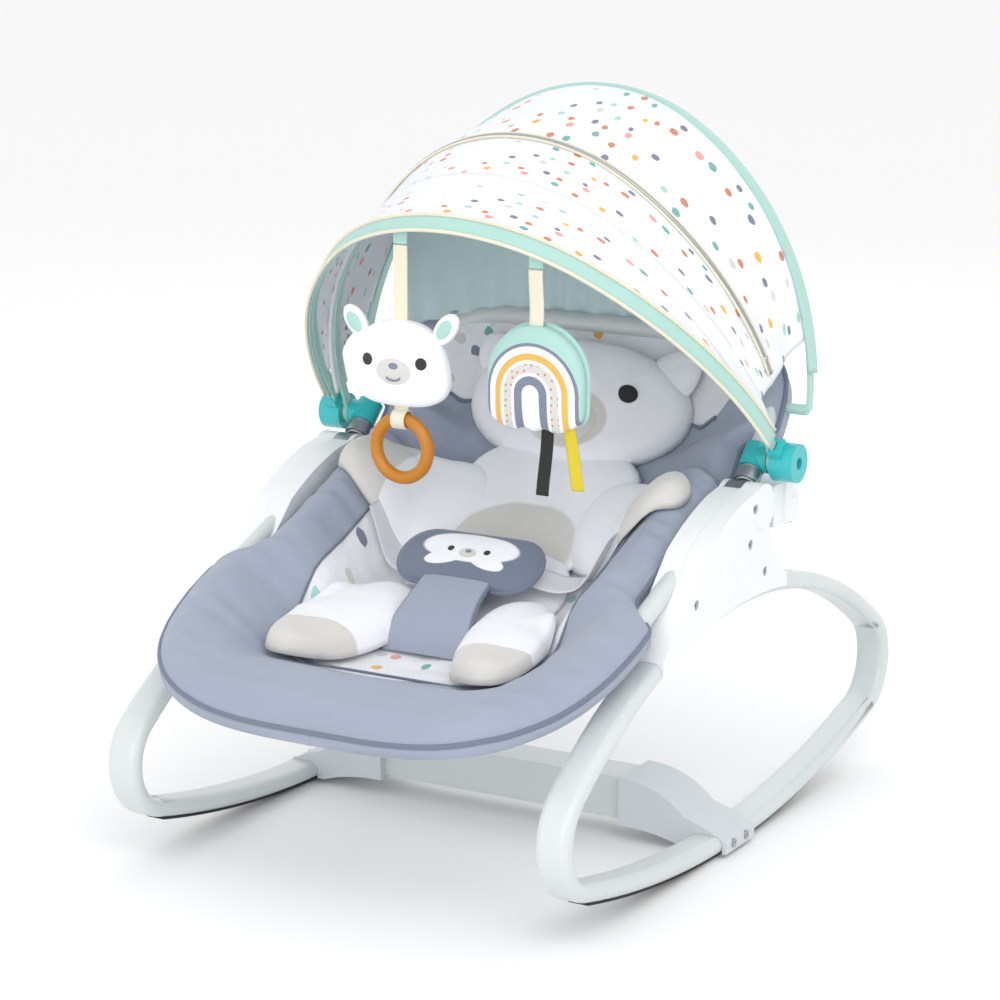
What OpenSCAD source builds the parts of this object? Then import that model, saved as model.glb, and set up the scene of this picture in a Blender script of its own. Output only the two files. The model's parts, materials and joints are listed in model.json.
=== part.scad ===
// Baby bouncer seat: a rocking base of two side loops, a slung seat, a reclining
// backrest, a folding canopy and two hanging toys. Right is +X, feet are towards -Y.

/* [Base loops] */
// Distance between the centres of the two side loops
loop_spacing = 440; // [360:1:520]
// Highest point of a loop's centreline above the floor
loop_height = 236; // [215:1:265]
// Radius of the rocking rail's centreline
rocker_radius = 1150; // [1000:10:1400]
// Radius of the upper arch's centreline
arch_radius = 530; // [500:1:560]
// Radius of the bend at the foot end
front_bend = 48; // [38:1:58]
// Radius of the bend at the head end
rear_bend = 48; // [38:1:58]
// Width of the flat-oval loop tube
tube_wide = 33; // [26:0.5:38]
// Thickness of the flat-oval loop tube
tube_thick = 16.5; // [13:0.5:20]
// Wall of every steel tube
tube_wall = 1.2; // [0.8:0.1:1.6]
// Thickness of the rubber strip under each rail
strip_thick = 3; // [2:0.5:5]

/* [Crossbar] */
// Half length of the straight middle bar
bar_half = 130; // [90:1:150]
// Depth of the bar from front to back
bar_depth = 44; // [34:1:52]
// Height of the bar
bar_high = 40; // [30:1:46]
// Height of the bar's underside above the floor
bar_lift = 17; // [10:1:30]
// Width of the clamp on each rail, front to back
clamp_wide = 60; // [52:1:72]

/* [Seat] */
// Half width of the seat cover over the thighs
seat_half = 230; // [205:1:245]
// Slope of the seat frame in degrees
seat_slope = 21.8; // [16:0.1:26]
// Outer diameter of the round seat tubes
seat_tube = 18; // [15:0.5:20]
// Bend radius of the seat tube's corners
seat_bend = 150; // [110:1:180]

/* [Backrest] */
// Angle of the backrest to the floor
back_angle = 45; // [35:1:55]
// Length of the backrest frame from its pins to its top
back_length = 182; // [160:1:210]
// Bend radius of the backrest tube's corners
back_bend = 112; // [80:1:130]
// Height of the recline pins above the floor
pin_height = 314.5; // [305:0.5:325]
// How far the backrest reclines from its upright stop, in degrees
recline_most = 24; // [12:3:24]

/* [Canopy] */
// Distance of the canopy pivots from the recline pins, along the backrest
pivot_reach = 49.5; // [46:0.5:58]
// Angle of the front hoop from upright, towards the feet
front_lean = 43; // [36:1:50]
// Angle of the middle hoop from upright, towards the feet
middle_lean = 29; // [24:1:33]
// Angle of the rear hoop from upright, towards the head
rear_lean = 8.5; // [4:0.5:12]
// Height of the front hoop above its pivots
front_rise = 308; // [280:1:330]
// Height of the middle hoop above its pivots
middle_rise = 292; // [270:1:320]
// Height of the rear hoop above its feet
rear_rise = 286; // [265:1:300]

/* [Toys] */
// Outer diameter of the teether ring
ring_outer = 66; // [56:1:74]
// Thickness of the teether ring
ring_thick = 12; // [9:0.5:14]
// Width of the bear toy
bear_wide = 106; // [90:1:115]
// Width of the rainbow toy
bow_wide = 96; // [85:1:105]

/* [Clearances] */
// Gap on every side between a turning piece and what it turns on or in
run_gap = 0.05; // [0.02:0.01:0.1]
// Gap between pieces that pass each other
pass_gap = 0.4; // [0.3:0.1:0.8]

/* [Hidden] */
$fn = 48;

SIDES = [-1, 1];
FRAME = "#d2dad8";
PLASTIC = "#dfe3e6";
TEAL = "#3cbabe";
GREY = "#8b94a7";
WHITE = "#eceef2";
MINT = "#a5cdc3";
BEIGE = "#d9d5cf";
STEEL = "#b5b9be";

// ---- places along the loops ----
tube_lift = strip_thick + tube_thick / 2;
loop_x = loop_spacing / 2;
low_y = -8;
arch_y = 15;
rail_centre = [low_y, tube_lift + rocker_radius];
arch_centre = [arch_y, loop_height - arch_radius];
strip_reach = 272;
front_joint = 259;
rear_joint_y = 182;
swage = 32;

front_c = meet(rail_centre, rocker_radius - front_bend, arch_centre, arch_radius - front_bend, -1);
rear_c = meet(rail_centre, rocker_radius - rear_bend, arch_centre, arch_radius - rear_bend, 1);
rail_front_a = angle_of(front_c - rail_centre) + 360;
rail_rear_a = angle_of(rear_c - rail_centre) + 360;
arch_front_a = angle_of(front_c - arch_centre);
arch_rear_a = angle_of(rear_c - arch_centre);
joint_low_a = 270 - asin((front_joint + low_y) / rocker_radius);
joint_top_a = acos((rear_joint_y - arch_y) / arch_radius);
function turn_of(length, r) = length / r * 180 / PI;

// ---- the recline pins, the tubes that meet there and the canopy pivots ----
pin_y = 35;
pin_r = 4;
back_dir = [cos(back_angle), sin(back_angle)];
pod_y = pin_y + pivot_reach * back_dir[0];
pod_z = pin_height + pivot_reach * back_dir[1];
hub_r = 21;
arm_in = 203.3;
arm_out = 219.3;
leg_x = (arm_in + arm_out) / 2;
seat_end_y = pin_y - 27;
seat_end_z = pin_height - 2.5;
depth_half = rear_c[0] + rear_bend + tube_thick / 2;
seat_front_y = -depth_half + 27;
shell_in = 199;
shell_split = 219.6;
shell_out = 238;
lever_in = arm_in + 3;
lever_room = 29;
block_y0 = pin_y + 27;
block_y1 = pin_y + 76;
block_top = 13;
block_low = -26;
lever_y = pin_y + 56;
lever_z = pin_height - 20;
hoop_thick = 3;
hoop_wide = 9;
fabric = 1.6;
front_half = 237.5;
middle_half = 230;
rear_half = 243;
rear_foot_s = 113;
rear_foot_y = pin_y + rear_foot_s * back_dir[0] + 3;
rear_foot_z = pin_height + rear_foot_s * back_dir[1] - 5;
toy_gap = 1.2;

// ---- small helpers ----
// Where two circles in the loop plane meet; side picks one of the two points
function meet(p, a, q, b, side) =
  let (d = norm(q - p), t = (d * d + a * a - b * b) / (2 * d), h = sqrt(a * a - t * t))
  let (u = (q - p) / d)
  p + t * u + side * h * [-u[1], u[0]];
function angle_of(v) = atan2(v[1], v[0]);
// Points of a curve that leaves a towards b and arrives at c
function bow(a, b, c, n = 8) =
  [for (i = [0:n]) let (t = i / n) (1 - t) * (1 - t) * a + 2 * t * (1 - t) * b + t * t * c];
function flat(lists) = [for (l = lists) for (p = l) p];
function mix(a, b, t) = a + (b - a) * t;

module mirrored(side) {
  if (side < 0) mirror([1, 0, 0]) children();
  else children();
}
module oval(wide, thick) {
  square([thick, wide - thick], center = true);
  for (s = SIDES) translate([0, s * (wide - thick) / 2]) circle(d = thick, $fn = 32);
}
module tube_oval(wide, thick, wall) {
  difference() {
    oval(wide, thick);
    oval(wide - 2 * wall, thick - 2 * wall);
  }
}
// Sweeps the 2-D children along an arc in a plane of constant x; angles run from +Y to +Z
module arc_yz(x, centre, r, from, to) {
  translate([x, centre[0], centre[1]]) rotate([0, 90, 0]) rotate([0, 0, from + 90])
    rotate_extrude(angle = to - from, $fn = r > 300 ? 720 : 120) translate([r, 0]) children();
}
// Extrudes a 2-D outline in (y, z) along +X from x0 to x1
module plate(x0, x1) {
  translate([x0, 0, 0]) rotate([90, 0, 90]) linear_extrude(x1 - x0) children();
}
// Closed skin through rings with equal, even counts of points; each end is closed by a strip
// between the ring's first half and its second half
module loft(rings) {
  n = len(rings[0]);
  m = len(rings);
  e = (m - 1) * n;
  polyhedron(
    points = flat(rings),
    faces = concat(
      [for (i = [0:n / 2 - 2]) each [[i, i + 1, n - 1 - i], [i + 1, n - 2 - i, n - 1 - i]]],
      [for (i = [0:n / 2 - 2]) each [[e + i + 1, e + i, e + n - 1 - i], [e + n - 2 - i, e + i + 1, e + n - 1 - i]]],
      [for (k = [0:m - 2]) for (i = [0:n - 1])
        let (j = (i + 1) % n, a = k * n + i, b = k * n + j, c = (k + 1) * n + j, d = (k + 1) * n + i)
        each [[a, d, b], [b, d, c]]]),
    convexity = 6);
}
module along_x(x0, x1, y, z, r) {
  translate([x0, y, z]) rotate([0, 90, 0]) cylinder(r = r, h = x1 - x0);
}
module screw(x, y, z, head_r = 4.2, length = 12) {
  difference() {
    union() {
      along_x(x - 2, x, y, z, head_r);
      along_x(x - length, x - 1, y, z, 1.75);
    }
    for (a = [0, 90]) translate([x, y, z]) rotate([a, 0, 0]) cube([2, 4.4, 1], center = true);
  }
}

// ---- base loops ----
// One run of a loop tube, a hair short at each end so that it just misses the runs beside it
module tube_run(x, centre, r, from, to) {
  hair = turn_of(0.01, r);
  arc_yz(x, centre, r, from + hair, to - hair) tube_oval(tube_wide, tube_thick, tube_wall);
}
module front_tube(side) {
  color(FRAME) {
    tube_run(side * loop_x, rail_centre, rocker_radius, rail_front_a, joint_low_a);
    tube_run(side * loop_x, front_c, front_bend, arch_front_a, rail_front_a);
    tube_run(side * loop_x, arch_centre, arch_radius, joint_top_a, arch_front_a);
  }
}
module rocker_tube(side) {
  seam = turn_of(0.05, rocker_radius);
  color(FRAME) {
    tube_run(side * loop_x, rail_centre, rocker_radius, joint_low_a + seam, rail_rear_a);
    tube_run(side * loop_x, rear_c, rear_bend, rail_rear_a - 360, arch_rear_a);
    tube_run(side * loop_x, arch_centre, arch_radius, arch_rear_a, joint_top_a - turn_of(0.05, arch_radius));
  }
}
// Oval sleeves inside the loops that join the front tubes to the rocker tubes
module joint_sleeves() {
  inside = 2 * (tube_wall + run_gap);
  for (side = SIDES) color(STEEL) {
    arc_yz(side * loop_x, rail_centre, rocker_radius,
      joint_low_a - turn_of(swage, rocker_radius), joint_low_a + turn_of(swage, rocker_radius))
      tube_oval(tube_wide - inside, tube_thick - inside, tube_wall);
    arc_yz(side * loop_x, arch_centre, arch_radius,
      joint_top_a - turn_of(swage, arch_radius), joint_top_a + turn_of(swage, arch_radius))
      tube_oval(tube_wide - inside, tube_thick - inside, tube_wall);
  }
}
module antislip_strip(side) {
  strip_r = rocker_radius + tube_thick / 2 + strip_thick / 2;
  reach_a = asin(strip_reach / strip_r);
  color("#26282a")
    arc_yz(side * loop_x, rail_centre, strip_r, 270 - reach_a, 270 + reach_a)
      square([strip_thick, 20], center = true);
}

// ---- crossbar ----
module crossbar_tube() {
  color(FRAME) difference() {
    translate([-bar_half - 14, low_y - bar_depth / 2, bar_lift]) cube([2 * bar_half + 28, bar_depth, bar_high]);
    translate([-bar_half - 15, low_y - bar_depth / 2 + 2, bar_lift + 2])
      cube([2 * bar_half + 30, bar_depth - 4, bar_high - 4]);
  }
}
clamp_out = loop_x + tube_wide / 2 + 4;
clamp_in = loop_x - tube_wide / 2 - 5;
module clamp_outline() {
  bar_top = bar_lift + bar_high + 3;
  polygon(concat(
    bow([bar_half, bar_top], [bar_half + 42, bar_top], [clamp_in, tube_lift + 21]),
    bow([clamp_in, tube_lift + 21], [clamp_out - 14, tube_lift + 14], [clamp_out, tube_lift + 3]),
    [[clamp_out, tube_lift - 7], [clamp_in + 1, tube_lift - 7]],
    bow([clamp_in - 4, tube_lift - 7], [bar_half + 40, bar_lift - 3], [bar_half, bar_lift - 3])));
}
module crossbar_clamp(side) {
  color("#c3c9d3") mirrored(side) difference() {
    translate([0, low_y + clamp_wide / 2, 0]) rotate([90, 0, 0]) linear_extrude(clamp_wide) clamp_outline();
    arc_yz(loop_x, rail_centre, rocker_radius, 268, 272) oval(tube_wide + pass_gap, tube_thick + pass_gap);
    translate([loop_x - tube_wide / 2 - pass_gap / 2, low_y - clamp_wide, -1])
      cube([tube_wide + pass_gap, 2 * clamp_wide, tube_lift + 1]);
    translate([bar_half - 1, low_y - bar_depth / 2 - pass_gap / 2, bar_lift - pass_gap / 2])
      cube([15 + pass_gap, bar_depth + pass_gap, bar_high + pass_gap]);
    for (s = SIDES) along_x(clamp_out - 1, clamp_out + 1, low_y + s * 13, tube_lift, 4.6);
    for (s = SIDES) along_x(loop_x, clamp_out + 1, low_y + s * 13, tube_lift, 1.9);
  }
}
module clamp_screws() {
  color(STEEL) for (side = SIDES) mirrored(side)
    for (s = SIDES) difference() {
      along_x(clamp_out - 1, clamp_out + 0.8, low_y + s * 13, tube_lift, 4.4);
      translate([clamp_out + 0.8, low_y + s * 13, tube_lift]) cube([1.2, 4.4, 1], center = true);
    }
}

// ---- side brackets ----
// Turns p about the recline pin by the full recline, down and back
function reclined(p) = [p[0] * cos(recline_most) + p[1] * sin(recline_most),
  p[1] * cos(recline_most) - p[0] * sin(recline_most)];
// Room for the lock housing at every recline angle
module housing_room(x0, x1) {
  near = block_y0 - pin_y - pass_gap;
  low = block_low - pass_gap;
  translate([0, pin_y, pin_height]) plate(x0, x1) polygon(concat(
    [[near, 40]], [for (a = [0:8]) near * [cos(recline_most * a / 8), -sin(recline_most * a / 8)]],
    [reclined([near, low]), reclined([95, low]), [110, 40]]));
}
// Room for the recline arm at every recline angle
module arm_room(x0, x1) {
  low = block_low + 8 - pass_gap;
  translate([0, pin_y, pin_height]) plate(x0, x1) polygon(
    [[0, 12], [0, 0], reclined([0, low]), reclined([34, low]), [60, low], [60, 12]]);
}
module bracket_side() {
  front_foot = [-162, loop_height - 34];
  rear_foot = [88, loop_height - 8];
  shoulder = [pin_y - 40, pin_height + 13];
  difference() {
    polygon(concat(
      bow(front_foot + [0, 14], [-118, loop_height + 22], [-82, loop_height + 58]),
      bow([-82, loop_height + 58], [-50, pin_height], shoulder, 5),
      [[pin_y, pin_height + hub_r - 1.5], [pin_y + hub_r - 4, pin_height - 6]],
      bow([pin_y + 12, pin_height - 20], [pin_y + 22, loop_height + 20], rear_foot + [0, 14]),
      [rear_foot, front_foot]));
    translate(arch_centre) circle(r = arch_radius - 2, $fn = 360);
  }
}
module tube_channel() {
  arc_yz(loop_x, arch_centre, arch_radius, 75, 120) oval(tube_wide + pass_gap, tube_thick + pass_gap);
}
// Each screw's y, z and length
screw_places = [[pin_y - 18, pin_height + 1, 16], [pin_y - 27, pin_height - 30, 24],
  [-100, loop_height + 17, 24], [40, loop_height + 17, 24]];
module bracket_outer(side) {
  color(PLASTIC) mirrored(side) difference() {
    union() {
      plate(shell_split + 0.1, shell_out) bracket_side();
      along_x(shell_split + 0.5, shell_out + 0.8, pin_y, pin_height, hub_r);
    }
    tube_channel();
    for (p = screw_places) along_x(shell_split - 5, shell_out + 1, p[0], p[1], 1.9);
    for (p = screw_places) along_x(shell_out - 3, shell_out + 1, p[0], p[1], 4.6);
    along_x(shell_split - 1, shell_out - 6, pin_y, pin_height, pin_r + run_gap);
    seat_leg_bore();
    housing_room(shell_split - 1, shell_out + 1);
  }
}
module bracket_inner(side) {
  color(PLASTIC) mirrored(side) difference() {
    union() {
      plate(shell_in, shell_split) bracket_side();
      along_x(shell_in - 0.8, shell_split - 0.5, pin_y, pin_height, hub_r);
    }
    tube_channel();
    along_x(arm_in - pass_gap, shell_split + 1, pin_y, pin_height, hub_r + 1);
    arm_room(arm_in - pass_gap, shell_split + 1);
    housing_room(arm_in - pass_gap, shell_split + 1);
    seat_leg_bore();
    along_x(shell_in - 2, arm_in + 1, pin_y, pin_height, pin_r + run_gap);
    for (p = screw_places) along_x(shell_split - 9, shell_split + 1, p[0], p[1], 1.9);
  }
}
module bracket_screws() {
  color(STEEL) for (side = SIDES) mirrored(side)
    for (p = screw_places) screw(shell_out - 1, p[0], p[1], 4.4, p[2]);
}
module recline_pin(side) {
  color(STEEL) mirrored(side) along_x(shell_in, shell_out - 6.2, pin_y, pin_height, pin_r);
}

// ---- seat frame ----
// Places the 2-D layout (x, distance down the slope) in the seat's plane, rear ends at y = 0
module seat_plane() {
  translate([0, seat_end_y, seat_end_z]) rotate([seat_slope, 0, 0]) children();
}
seat_run = (seat_end_y - seat_front_y) / cos(seat_slope);
module u_tube(run, bend, half, r) {
  for (s = SIDES) translate([s * half, 0, 0]) rotate([90, 0, 0]) difference() {
    cylinder(r = r, h = run - bend);
    translate([0, 0, -1]) cylinder(r = r - tube_wall, h = run - bend + 2);
  }
  for (s = [0, 1]) mirror([s, 0, 0]) translate([half - bend, -run + bend, 0]) rotate([0, 0, -90])
    rotate_extrude(angle = 90, $fn = 96) translate([bend, 0]) ring_2d(r);
  translate([-half + bend, -run, 0]) rotate([0, 90, 0]) difference() {
    cylinder(r = r, h = 2 * (half - bend));
    translate([0, 0, -1]) cylinder(r = r - tube_wall, h = 2 * (half - bend) + 2);
  }
}
module ring_2d(r) {
  difference() {
    circle(r = r, $fn = 32);
    circle(r = r - tube_wall, $fn = 32);
  }
}
module seat_frame_tube() {
  color(STEEL) seat_plane() u_tube(seat_run, seat_bend, leg_x, seat_tube / 2);
}
module seat_leg_bore() {
  seat_plane() translate([leg_x, 0, 0]) rotate([90, 0, 0]) cylinder(r = seat_tube / 2 + run_gap, h = 150);
}

// ---- seat cover: a sling between padded sides ----
function tube_z(y) = seat_end_z - (seat_end_y - y) * tan(seat_slope);
function sling_z(y) = tube_z(y) + lookup(y, [[-depth_half, 3], [-depth_half + 19, 14], [-300, 14],
  [-262, -12], [-217, -40], [-158, -56], [-80, -72], [-15, -62], [pin_y, -58]]);
function corner(t) = t >= 1 ? 1 : pow(1 - pow(1 - t, 3.1), 1 / 3.1);
function seat_w(y) = corner((y + depth_half + 5) / 205)
  * lookup(y, [[-170, seat_half], [-128, shell_in - 3], [pin_y, shell_in - 4]]);
function seat_top(x, y) = let (q = min(1, abs(x) / seat_w(y)), c = sling_z(y), b = tube_z(y) + 20)
  lookup(q, [[0, c], [0.5, mix(c, b, 0.12)], [0.7, mix(c, b, 0.7)], [0.86, b], [0.95, b - 6], [1, b - 18]]);
function seat_pad(q) = lookup(abs(q), [[0, 10], [0.5, 12], [0.7, 26], [0.86, 34], [0.95, 28], [1, 12]]);
cover_steps = [-1, -0.95, -0.86, -0.7, -0.5, -0.25, 0, 0.25, 0.5, 0.7, 0.86, 0.95, 1];
function seat_ring(y) = concat(
  [for (q = cover_steps) [q * seat_w(y), y, seat_top(q * seat_w(y), y)]],
  [for (i = [len(cover_steps) - 1:-1:0]) let (q = cover_steps[i])
    [q * seat_w(y), y, seat_top(q * seat_w(y), y) - seat_pad(q)]]);
seat_stations = concat([for (i = [0:6]) -depth_half + 160 * pow(i / 6, 2)],
  [-170, -148, -128, -95, -60, -25, 8, pin_y - 6]);
module seat_cover() {
  color(GREY) loft([for (y = seat_stations) seat_ring(y)]);
}

// ---- cushions laid on a surface ----
// Turns the seat's own (x, y) into a point h above the seat
function on_seat(x, y, h) = [x, y, seat_top(x, y) + h];
// Turns (x, distance up the backrest) into a point h above the backrest
function back_point(x, s, n) = [x, pin_y + s * back_dir[0] - n * back_dir[1], pin_height + s * back_dir[1] + n * back_dir[0]];
function on_back(x, s, h) = back_point(x, s, back_top(x, s) + h);
function place(kind, x, y, h) = kind == "seat" ? on_seat(x, y, h) : on_back(x, y, h);
pillow_rings = [[0.1, 0], [0.6, 0], [1, 0], [1.03, 0.35], [0.93, 0.72], [0.6, 0.95], [0.1, 1]];
module pillow(kind, cx, cy, half_x, half_y, thick, turn = 0, lift = 1.5) {
  loft([for (k = pillow_rings) [for (i = [0:19])
    let (a = i * 18, px = k[0] * half_x * cos(a), py = k[0] * half_y * sin(a))
    place(kind, cx + px * cos(turn) - py * sin(turn), cy + px * sin(turn) + py * cos(turn), lift + thick * k[1])]]);
}
module plush_body() {
  color(WHITE) {
    pillow("seat", 0, -62, 82, 66, 20);
    for (side = SIDES) mirrored(side) pillow("seat", 74, -166, 46, 76, 30, 12, 5);
  }
}
module plush_arm(side) {
  color(BEIGE) mirrored(side) pillow("back", 128, 52, 60, 30, 22, -18);
}
module plush_head() {
  color(WHITE) pillow("back", 0, 98, 118, 62, 34);
}

// ---- harness ----
strap_path = [[-168, 2], [-163, 16], [-152, 30], [-138, 42], [-122, 52], [-106, 60]];
module crotch_strap() {
  base = sling_z(-168);
  color(GREY) loft([for (p = strap_path) let (half = lookup(p[1], [[2, 44], [60, 34]]))
    [[-half, p[0] - 3, base + p[1] + 1], [half, p[0] - 3, base + p[1] + 1],
     [half, p[0] + 3, base + p[1] - 1], [-half, p[0] + 3, base + p[1] - 1]]]);
}
pad_y = -88;
pad_z = sling_z(-168) + 74;
pad_tilt = 38;
module at_pad() {
  translate([0, pad_y, pad_z]) rotate([pad_tilt, 0, 0]) children();
}
module crotch_pad() {
  color(GREY) at_pad() hull() {
    for (s = SIDES) translate([s * 44, 0, 0]) {
      cylinder(r = 30, h = 8, center = true, $fn = 32);
      cylinder(r = 24, h = 14, center = true, $fn = 32);
    }
  }
}
module buckle_housing() {
  color("#5c6470") at_pad() translate([0, 2, -17]) difference() {
    cube([42, 34, 16], center = true);
    for (s = SIDES) translate([s * 16, 4, 0]) cube([14, 14.8, 4.8], center = true);
    translate([0, -12, 0]) cube([16 + 2 * pass_gap, 18, 10 + 2 * pass_gap], center = true);
  }
}
module buckle_button() {
  color("#7b8490") at_pad() translate([0, -13.5, -17]) cube([16, 12, 10], center = true);
}
module buckle_tongues() {
  color(STEEL) at_pad() for (s = SIDES) translate([s * 27, 6, -17]) difference() {
    cube([32, 14, 4], center = true);
    translate([s * 9, 0, 0]) cube([4, 10.6, 6], center = true);
  }
}
belt_drop = [[46, 0], [80, -10], [112, -16], [140, -12], [158, 4]];
module waist_belt(side) {
  color(WHITE) mirrored(side) loft([for (p = belt_drop)
    let (y = pad_y + 12 + (p[0] - 46) * 0.25)
    let (top = max(p[0] < 100 ? pad_z - 12 + p[1] : 0, seat_top(p[0], y) + 26))
    [[p[0], y - 15, top], [p[0], y + 15, top + 6], [p[0], y + 15, top + 8], [p[0], y - 15, top + 2]]]);
}

// ---- backrest ----
module back_plane() {
  translate([0, pin_y, pin_height]) rotate([back_angle, 0, 0]) children();
}
module recline_arm(side) {
  color(PLASTIC) mirrored(side) difference() {
    union() {
      along_x(arm_in, arm_out, pin_y, pin_height, hub_r);
      translate([arm_in, pin_y, pin_height + block_low + 8])
        cube([arm_out - arm_in, block_y0 - pin_y, block_top - block_low - 12]);
      back_plane() translate([leg_x, 12, 0]) rotate([-90, 0, 0]) cylinder(r = (arm_out - arm_in) / 2, h = 14);
      back_plane() translate([leg_x, 23, 0]) rotate([-90, 0, 0]) cylinder(r = 12, h = 12);
    }
    along_x(arm_in - 1, arm_out + 1, pin_y, pin_height, pin_r + run_gap);
    back_plane() translate([leg_x, 20, 0]) rotate([-90, 0, 0]) cylinder(r = seat_tube / 2 + run_gap, h = 20);
  }
}
module lock_housing(side) {
  color(WHITE) mirrored(side) difference() {
    union() {
      translate([arm_in, block_y0 + 0.2, pin_height + block_low])
        cube([shell_out - arm_in - 3, 20, block_top - block_low]);
      translate([arm_in, block_y0 + 20, pin_height + block_low])
        cube([shell_out - arm_in, block_y1 - block_y0 - 20, block_top - block_low]);
    }
    translate([lever_in - 0.5, lever_y - 8, pin_height + block_low - 1])
      cube([lever_room, block_y1 - lever_y + 10, lever_z + 7.5 - pin_height - block_low]);
    along_x(arm_in + 0.3, shell_out - 0.4, lever_y, lever_z, 2 + run_gap);
    translate([shell_out - 1, block_y1 - 16, pin_height - 4]) cube([2, 10, 4]);
  }
}
// The lever turns on a pin below the lock housing; its paddle reaches rearwards
module recline_lever(side) {
  lever_out = lever_in + 23;
  color("#6ecdcd") mirrored(side) difference() {
    union() {
      along_x(lever_in, lever_out, lever_y, lever_z, 5);
      plate(lever_in, lever_out) polygon(concat(
        bow([lever_y - 4, lever_z - 3], [lever_y + 8, lever_z - 12], [block_y1 + 4, lever_z - 12]),
        bow([block_y1 + 8, lever_z - 8], [lever_y + 14, lever_z - 6], [lever_y + 3, lever_z + 3])));
    }
    along_x(lever_in - 1, lever_out + 1, lever_y, lever_z, 2 + run_gap);
  }
}
module lever_pins() {
  color(STEEL) for (side = SIDES) mirrored(side) along_x(arm_in + 0.4, shell_out - 0.5, lever_y, lever_z, 2);
}
module lever_springs() {
  color(STEEL) for (side = SIDES) mirrored(side)
    translate([lever_in + 23.6, lever_y, lever_z]) rotate([0, 90, 0])
      for (k = [0:2]) translate([0, 0, 0.5 + k * 1.1]) rotate_extrude() translate([3, 0]) circle(r = 0.5, $fn = 16);
}
module backrest_tube() {
  color(STEEL) back_plane() translate([0, 22, 0]) rotate([0, 0, 180])
    u_tube(back_length - 22, back_bend, leg_x, seat_tube / 2);
}
back_top_s = back_length + 14;
function back_w(s) = s < 72 ? shell_in - 5 : (shell_in + 23) * corner((back_top_s + 4 - s) / 124);
function back_top(x, s) = let (q = min(1, abs(x) / back_w(s)), c = lookup(s, [[0, -42], [60, -44], [130, -24], [back_top_s, 4]]))
  let (b = lookup(s, [[0, 4], [130, 14], [back_top_s, 6]]))
  lookup(q, [[0, c], [0.55, mix(c, b, 0.15)], [0.78, mix(c, b, 0.8)], [0.9, b], [1, b - 14]]);
function back_pad(q) = lookup(abs(q), [[0, 12], [0.55, 14], [0.78, 30], [0.9, 36], [1, 18]]);
back_steps = [-1, -0.9, -0.78, -0.55, -0.28, 0, 0.28, 0.55, 0.78, 0.9, 1];
function back_ring(s) = concat(
  [for (q = back_steps) back_point(q * back_w(s), s, back_top(q * back_w(s), s))],
  [for (i = [len(back_steps) - 1:-1:0]) let (q = back_steps[i])
    back_point(q * back_w(s), s, back_top(q * back_w(s), s) - back_pad(q))]);
back_stations = concat([2, 30, 58, 71.5, 72.5, 95, 118], [for (i = [4:-1:0]) back_top_s - 60 * pow(i / 4, 2)]);
module back_cover() {
  color(GREY) loft([for (s = back_stations) back_ring(s)]);
}

// ---- canopy ----
crown_of = 0.62;
// Radius of a hoop's side arcs, from its half width, rise and crown radius
function side_r(half, rise, crown) =
  (half * half + pow(rise - crown, 2) - crown * crown) / (2 * (half - crown));
// Angle, seen from the side arc's centre, at which the crown arc takes over
function crown_turn(half, rise, crown) = atan2(rise - crown, side_r(half, rise, crown) - half);
module hoop_plane(lean, foot_y = pod_y, foot_z = pod_z) {
  translate([0, foot_y, foot_z]) rotate([90 + lean, 0, 0]) children();
}
module hoop_arcs(half, rise, foot = 0) {
  crown = half * crown_of + rise * 0.12;
  big = side_r(half, rise, crown);
  turn = crown_turn(half, rise, crown);
  start = asin(foot / big);
  hair = turn_of(0.01, crown);
  for (s = [0, 1]) mirror([s, 0, 0]) translate([half - big, 0, 0]) rotate([0, 0, start])
    rotate_extrude(angle = turn - start, $fn = 96) translate([big, 0]) hoop_section();
  translate([0, rise - crown, 0]) rotate([0, 0, turn + hair])
    rotate_extrude(angle = 180 - 2 * (turn + hair), $fn = 96) translate([crown, 0]) hoop_section();
}
module hoop_section() {
  square([hoop_thick, hoop_wide], center = true);
}
// A point of the hoop's curve: t runs from one foot (0) over the crown (0.5) to the other (1)
function hoop_at(half, rise, t, out) =
  let (crown = half * crown_of + rise * 0.12, big = side_r(half, rise, crown), turn = crown_turn(half, rise, crown))
  let (u = t > 0.5 ? 1 - t : t, side_share = 0.32, flip = t > 0.5 ? -1 : 1)
  u < side_share
  ? let (a = turn * u / side_share) [flip * (half - big + (big + out) * cos(a)), (big + out) * sin(a)]
  : let (a = turn + (90 - turn) * (u - side_share) / (0.5 - side_share))
    [flip * (crown + out) * cos(a), rise - crown + (crown + out) * sin(a)];
// A hoop is given as [half width, rise, lean, y and z of the line between its feet]
function canopy_point(h, t, out) =
  let (p = hoop_at(h[0], h[1], t, out)) [p[0], h[3] + p[1] * sin(h[2]), h[4] + p[1] * cos(h[2])];
// Gap between a hoop's outer face and the fabric drawn over it
canopy_lift = 2.2;
canopy_t = [for (i = [48:-1:0]) 0.07 + 0.86 * i / 48];
function canopy_ring(h) = concat(
  [for (t = canopy_t) canopy_point(h, t, hoop_thick / 2 + canopy_lift + fabric)],
  [for (i = [len(canopy_t) - 1:-1:0]) canopy_point(h, canopy_t[i], hoop_thick / 2 + canopy_lift)]);
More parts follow.
